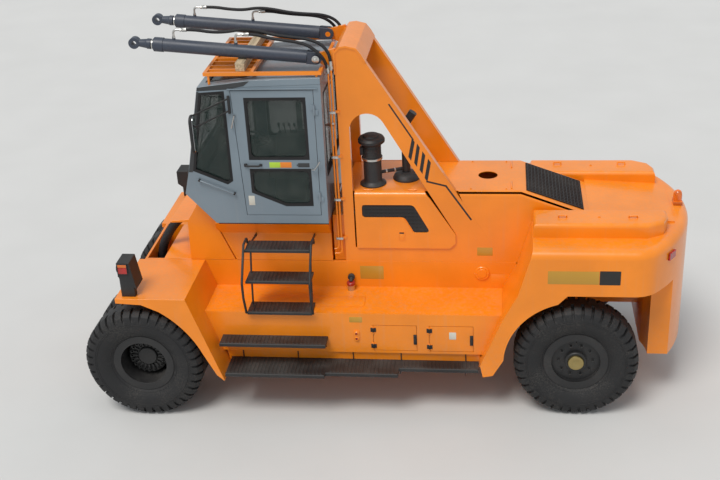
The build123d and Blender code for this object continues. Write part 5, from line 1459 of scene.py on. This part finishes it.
def wall_fittings():
    """The socket on the side box, the round covers, the isolator and the lid in the platform."""
    station, heights = SOCKET
    outline = rounded(oblong(-2.623, -2.698, 0.940, 1.095), 0.034, 5)
    eyes = [at(station, BOX_FACE + 0.010, z) for z in heights]
    rims = [lathe(SOCKET_RIM, eye, LEFT, 24) for eye in eyes]
    socket = plate(outline, on_side(BOX_FACE - 0.0005), 0.012, 0.003)
    piece("socket_plate", join(socket, *rims), "body_orange")
    holes = [rod(eye, np.add(eye, (0, 0.004, 0)), 0.018, 24) for eye in eyes]
    piece("socket_eyes", join(*holes), "red_dark", "tail_lens")

    x, z = COVER_CENTRE
    stud = bolt(at(x + 0.076, WALL + 0.016, z), LEFT, 0.007, 0.006)
    studs = spun(stud, at(x, WALL, z), LEFT, np.arange(6) * pi / 3)
    cover = lathe(ROUND_COVER, at(x, WALL - 0.001, z), LEFT, 48)
    piece("round_cover", both(join(cover, studs)), "body_orange")

    foot = at(ISOLATOR, 0.615, PLATFORM - 0.001)
    piece("isolator_base", lathe(ISOLATOR_BASE, foot, UP, 32), "bright_steel")
    piece("isolator_collar", lathe(ISOLATOR_COLLAR, foot, UP, 32), "red_dark", "tail_lens")
    stem = rod(at(ISOLATOR, 0.615, 1.440), at(ISOLATOR, 0.560, 1.474), 0.022, 14)
    knob = lathe(ISOLATOR_KNOB, at(ISOLATOR, WALL - 0.001, 1.478), LEFT, 32)
    piece("isolator_knob", join(knob, stem), "black_plastic")

    lid = slab((-1.40, -2.745), (0.79, 1.045), (PLATFORM - 0.001, PLATFORM + 0.007), 0.003)
    pins = [bolt(at(x, 1.085, PLATFORM), UP, 0.009, 0.009) for x in (-1.45, -2.05, -2.66)]
    piece("platform_lid", join(lid, *pins), "body_orange")


class SIDES_OT_build(bpy.types.Operator):
    """Plates, stripes, hinges, latches, caps and lids along the sides"""
    bl_idname = "truck.sides"
    bl_label = "Side fittings"

    def execute(self, context):
        for name, (look, slot), edges, wall, sign in PLATES:
            outline = rounded(oblong(*edges), 0.008, 3)
            piece(name, plate(outline, on_side(wall - 0.0005, sign), PLATE_THICK, 0.0005), look, slot)
        stripes()
        locker_hardware()
        wall_fittings()
        return {"FINISHED"}


# Tower: clamps on the oil pipes, hose fittings, cylinder pins and the covers' latches
CLAMP_HEIGHTS = (3.691, 3.119, 2.557, 2.026)
PIPE_Y = 0.553
# Place of each pipe's end and how far it leans forward
PIPE_ENDS = (((-2.440, 0.553, 4.268), 0.0), ((-2.3985, 0.562, 4.230), 0.10))
UNION = ((-0.055, 0), (-0.055, 0.015), (-0.030, 0.015), (-0.030, 0.021), (-0.006, 0.021), (-0.006, 0.0215),
         (0.050, 0.0215), (0.054, 0.019), (0.054, 0))
UNION_NUT = ((-0.034, 0), (-0.034, 0.025), (-0.008, 0.025), (-0.008, 0))
COVER_FACE = 0.548
PIN = (-2.270, 4.3535)
PIN_Y = 0.5025
PIN_WASHER = ((0, 0), (0, 0.044), (0.008, 0.044), (0.010, 0.041), (0.010, 0))
LIFT = radians(5.5)
BARREL_LENGTH = 1.929
GLAND = ((-0.004, 0.040), (-0.004, 0.070), (0.012, 0.070), (0.016, 0.064), (0.016, 0.0435))
WIPER_RING = ((0.014, 0.0435), (0.014, 0.058), (0.030, 0.058), (0.034, 0.052), (0.034, 0.0435))
SHANK = ((0.039, 0.0425), (0.039, 0.058), (0.043, 0.062), (0.085, 0.062), (0.089, 0.058), (0.101, 0.054),
         (0.193, 0.0430))
PORTS = ((-0.590, 4.706), (-1.328, 4.641))
PORT_FOOT = ((0, 0), (0, 0.019), (0.022, 0.019), (0.022, 0))
PORT_UNION = ((0, 0), (0, 0.021), (0.006, 0.024), (0.052, 0.024), (0.056, 0.021), (0.056, 0))
PORT_NUT = ((-0.016, 0), (-0.016, 0.022), (0.004, 0.022), (0.004, 0))


def pipe_fittings():
    """Clamps and unions of the oil pipes on both sides, and one clip."""
    clamps = []
    for z in CLAMP_HEIGHTS:
        clamps += [slab((-2.378, -2.466), (PIPE_Y - 0.004, PIPE_Y + 0.019), (z - 0.017, z + 0.017), 0.005),
                   bolt(at(-2.422, PIPE_Y + 0.019, z), LEFT, 0.008, 0.008)]
    piece("pipe_clamps", both(join(*clamps)), "bright_steel")
    ends = []
    for place, lean in PIPE_ENDS:
        end, way = at(*place), (lean, 0, 1.0)
        ends += [lathe(UNION, end, way, 20), lathe(UNION_NUT, end, way, 6)]
    piece("pipe_unions", both(join(*ends)), "bright_steel")
    clip = rod(at(-2.428, PIPE_Y + 0.010, 3.560), at(-2.428, PIPE_Y + 0.034, 3.560), 0.016, 16, 0.005)
    piece("pipe_clip", clip, "bright_steel")


def cover_fittings(body, sign):
    """The mesh in an access cover's window and the cover's latch."""
    window = rounded(COVER_WINDOW, COVER_WINDOW_ROUND)
    lining = join(plate(inset_outline(window, -0.012), on_side(0.5285), 0.004),
                  mesh_bars(window, 0.048, 0.009, on_side(0.532), 0.006))
    piece(body + "_grille", to_side(lining, sign), "dark_metal", body=body)
    low, stations = COVER_FACE - 0.001, (-3.170, -3.226)
    edge = band(rounded(oblong(-3.155, -3.240, 2.000, 2.125), 0.012, 3), 0.012, on_side(low), 0.006)
    paddle = slab(stations, (low, COVER_FACE + 0.004), (2.010, 2.090))
    piece(body + "_latch", to_side(join(edge, paddle), sign), "body_orange", body=body)
    slot = slab(stations, (low, COVER_FACE + 0.003), (2.092, 2.110), 0.002)
    piece(body + "_latch_slot", to_side(slot, sign), "black_plastic", body=body)


def cylinder_fittings(side, sign):
    """Pin cap, gland, wiper ring, rod shank and port unions of a tilt cylinder."""
    barrel = "tilt_barrel_" + side
    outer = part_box(barrel)[1].y if sign > 0 else -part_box(barrel)[0].y
    pin = np.array(at(PIN[0], PIN_Y, PIN[1]))
    along = np.array((cos(LIFT), 0, sin(LIFT)))
    end = pin + along * BARREL_LENGTH
    cap = join(lathe(PIN_WASHER, (pin[0], outer - 0.0005, pin[2]), LEFT, 32),
               bolt((pin[0], outer + 0.009, pin[2]), LEFT, 0.016, 0.014))
    ports = []
    for station, height in PORTS:
        ports += [lathe(PORT_FOOT, at(station, PIN_Y, height - 0.097), UP, 6),
                  lathe(PORT_UNION, at(station - 0.110, PIN_Y, height), (-1, 0, 0), 20),
                  lathe(PORT_NUT, at(station - 0.100, PIN_Y, height), (-1, 0, 0), 6)]
    gland, ring, shank = (lathe(profile, end, along, 40) for profile in (GLAND, WIPER_RING, SHANK))
    for body, suffix, part, look in ((barrel, "_pin_cap", cap, "bright_steel"),
                                     (barrel, "_gland", gland, "slate_paint"),
                                     (barrel, "_wiper_ring", ring, "bright_steel"),
                                     ("tilt_rod_" + side, "_shank", shank, "slate_paint"),
                                     (barrel, "_port_unions", join(*ports), "bright_steel")):
        piece(body + suffix, to_side(part, sign), look, body=body)


class TOWER_OT_build(bpy.types.Operator):
    """Pipe clamps, hose fittings, pins and latches on the tower"""
    bl_idname = "truck.tower"
    bl_label = "Tower fittings"

    def execute(self, context):
        pipe_fittings()
        for side, sign in SIDES:
            cover_fittings("access_cover_" + side, sign)
            cylinder_fittings(side, sign)
        return {"FINISHED"}


# Front: lenses of the lamp, and the wrapped bundle of mast hoses that hangs before the cowl
LAMP_FACE = 1.532
LENS_STATIONS = (0.143, 0.030)
HEAD_HEIGHT = 2.060
HEAD_SIDES = (1.335, 1.467)
HEAD_RIM = ((-0.002, 0.048), (-0.002, 0.058), (0.012, 0.058), (0.014, 0.054), (0.014, 0.048))
HEAD_LENS = ((-0.002, 0), (-0.002, 0.048), (0.006, 0.048), (0.012, 0.030), (0.014, 0))
BUNDLE_ROUTE = ((-0.487, 0.08, 2.130), (-0.380, 0.09, 2.140), (-0.265, 0.10, 2.090), (-0.160, 0.10, 1.985),
                (-0.070, 0.11, 1.860), (0.005, 0.10, 1.720), (0.055, 0.09, 1.575), (0.072, 0.08, 1.430),
                (0.070, 0.08, 1.265))
BUNDLE_RADIUS = 0.058
BUNDLE_STEPS = 160
WRAPS = 34
WRAP_SWELL = 0.05


def lamp_lenses():
    """The side lenses and headlights of the left lamp, with their rims."""
    face = (LAMP_FACE - 0.002, LAMP_FACE + 0.010)
    piece("lamp_side_red", slab(LENS_STATIONS, face, (2.010, 2.090), 0.006), "red_lens", "tail_lens")
    piece("lamp_side_amber", slab(LENS_STATIONS, face, (2.093, 2.138), 0.006), "amber_lens", "beacon_lens")
    outline = rounded(oblong(0.150, 0.023, 2.003, 2.145), 0.010, 3)
    rim = band(outline, 0.008, on_side(LAMP_FACE - 0.001), 0.013)
    rims, bulbs = ([lathe(line, at(0.157, y, HEAD_HEIGHT), (1, 0, 0), 32) for y in HEAD_SIDES]
                   for line in (HEAD_RIM, HEAD_LENS))
    piece("lamp_rims", join(rim, *rims), "black_plastic")
    piece("lamp_heads", join(*bulbs), "clear_lens", "bright_steel")


def hose_bundle():
    """The mast's hoses in their wrapping, which swells between its turns."""
    path = spline_points("mast_hose_bundle", BUNDLE_ROUTE)
    runs = np.cumsum(np.linalg.norm(np.diff(path, axis=0), axis=1))
    along = np.concatenate([[0], runs]) / runs[-1]
    steps = np.linspace(0, 1, BUNDLE_STEPS)
    fine = np.stack([np.interp(steps, along, path[:, axis]) for axis in range(3)], -1)
    swell = 1 + WRAP_SWELL * np.sin(steps * 2 * pi * WRAPS)
    piece("mast_hose_bundle", tube(fine, BUNDLE_RADIUS, LEFT, 24, swell), "hose_rubber", smooth=60)


class FRONT_OT_build(bpy.types.Operator):
    """Lamp lenses and the wrapped hoses in front of the cowl"""
    bl_idname = "truck.front"
    bl_label = "Front fittings"

    def execute(self, context):
        lamp_lenses()
        hose_bundle()
        return {"FINISHED"}


# Rear: lifting hooks on the humps, and bolts, vent bars and hinges of the hood
HOOKS = (-5.142, -5.961)
HOOK_BOW = ((0.048, 0.80, -0.004), (0.046, 0.815, 0.030), (-0.046, 0.815, 0.030), (-0.048, 0.80, -0.004))
HUMP_TOP = 2.450
HOOD_PLATE = 2.650
HOOD_BOLTS = (-3.62, -4.05, -4.48)
# The vent's slope, from its front edge to its rear one, as stations and heights
VENT = ((-4.660, 2.650), (-5.475, 2.350))


class REAR_OT_build(bpy.types.Operator):
    """Lifting hooks, hood bolts, vent bars and hood hinges"""
    bl_idname = "truck.rear"
    bl_label = "Rear fittings"

    def execute(self, context):
        hooks = []
        for station in HOOKS:
            bow = [at(station + reach, y, HUMP_TOP + rise) for reach, y, rise in HOOK_BOW]
            hooks.append(tube(bow, 0.009, LEFT, 10))
        hooks.append(bolt(at(-5.57, 0.79, HUMP_TOP), UP, 0.014, 0.010))
        piece("lifting_hooks", both(join(*hooks)), "body_orange")
        bolts = [bolt(at(x, y, HOOD_PLATE), UP, 0.010, 0.009) for x in HOOD_BOLTS for y in (-0.43, 0.43)]
        piece("hood_bolts", join(*bolts), "body_orange")
        (front, top), (back, foot) = VENT
        fall = np.array((back - front, foot - top)) / np.hypot(back - front, foot - top)
        vent = in_plane(at(front, 0, top), (0, 1, 0), (fall[0], 0, fall[1]))
        bars = mesh_bars(oblong(-0.425, 0.425, 0.066, 0.800), 0.046, 0.009, vent, 0.0165)
        piece("vent_bars", bars, "dark_metal")
        hinges = [rod(at(-4.545, y - 0.10, 2.656), at(-4.545, y + 0.10, 2.656), 0.010, 12, 0.002)
                  for y in (-0.33, 0.33)]
        piece("hood_hinges", join(*hinges), "body_orange")
        return {"FINISHED"}


OPERATORS = (PANELS_OT_build, HOSES_OT_build, FORMS_OT_build, WHEELS_OT_build, CAB_OT_build, TREADS_OT_build,
             SIDES_OT_build, TOWER_OT_build, FRONT_OT_build, REAR_OT_build, STAGE_OT_build)


class VIEW3D_PT_truck(bpy.types.Panel):
    bl_label = "Heavy forklift truck"
    bl_space_type = "VIEW_3D"
    bl_region_type = "UI"
    bl_category = "Truck"

    def draw(self, context):
        for group in (context.scene.truck_colours, context.scene.truck_sizes):
            for name in group.__annotations__:
                self.layout.prop(group, name)
        for operator in OPERATORS:
            self.layout.operator(operator.bl_idname)


CLASSES = (TruckColours, TruckSizes, *OPERATORS, VIEW3D_PT_truck)


def register():
    for cls in CLASSES:
        bpy.utils.register_class(cls)
    bpy.types.Scene.truck_colours = bpy.props.PointerProperty(type=TruckColours)
    bpy.types.Scene.truck_sizes = bpy.props.PointerProperty(type=TruckSizes)


def unregister():
    del bpy.types.Scene.truck_sizes
    del bpy.types.Scene.truck_colours
    for cls in reversed(CLASSES):
        bpy.utils.unregister_class(cls)


def main():
    register()
    for operator in OPERATORS:
        group, name = operator.bl_idname.split(".")
        getattr(getattr(bpy.ops, group), name)()


if __name__ == "__main__":
    main()
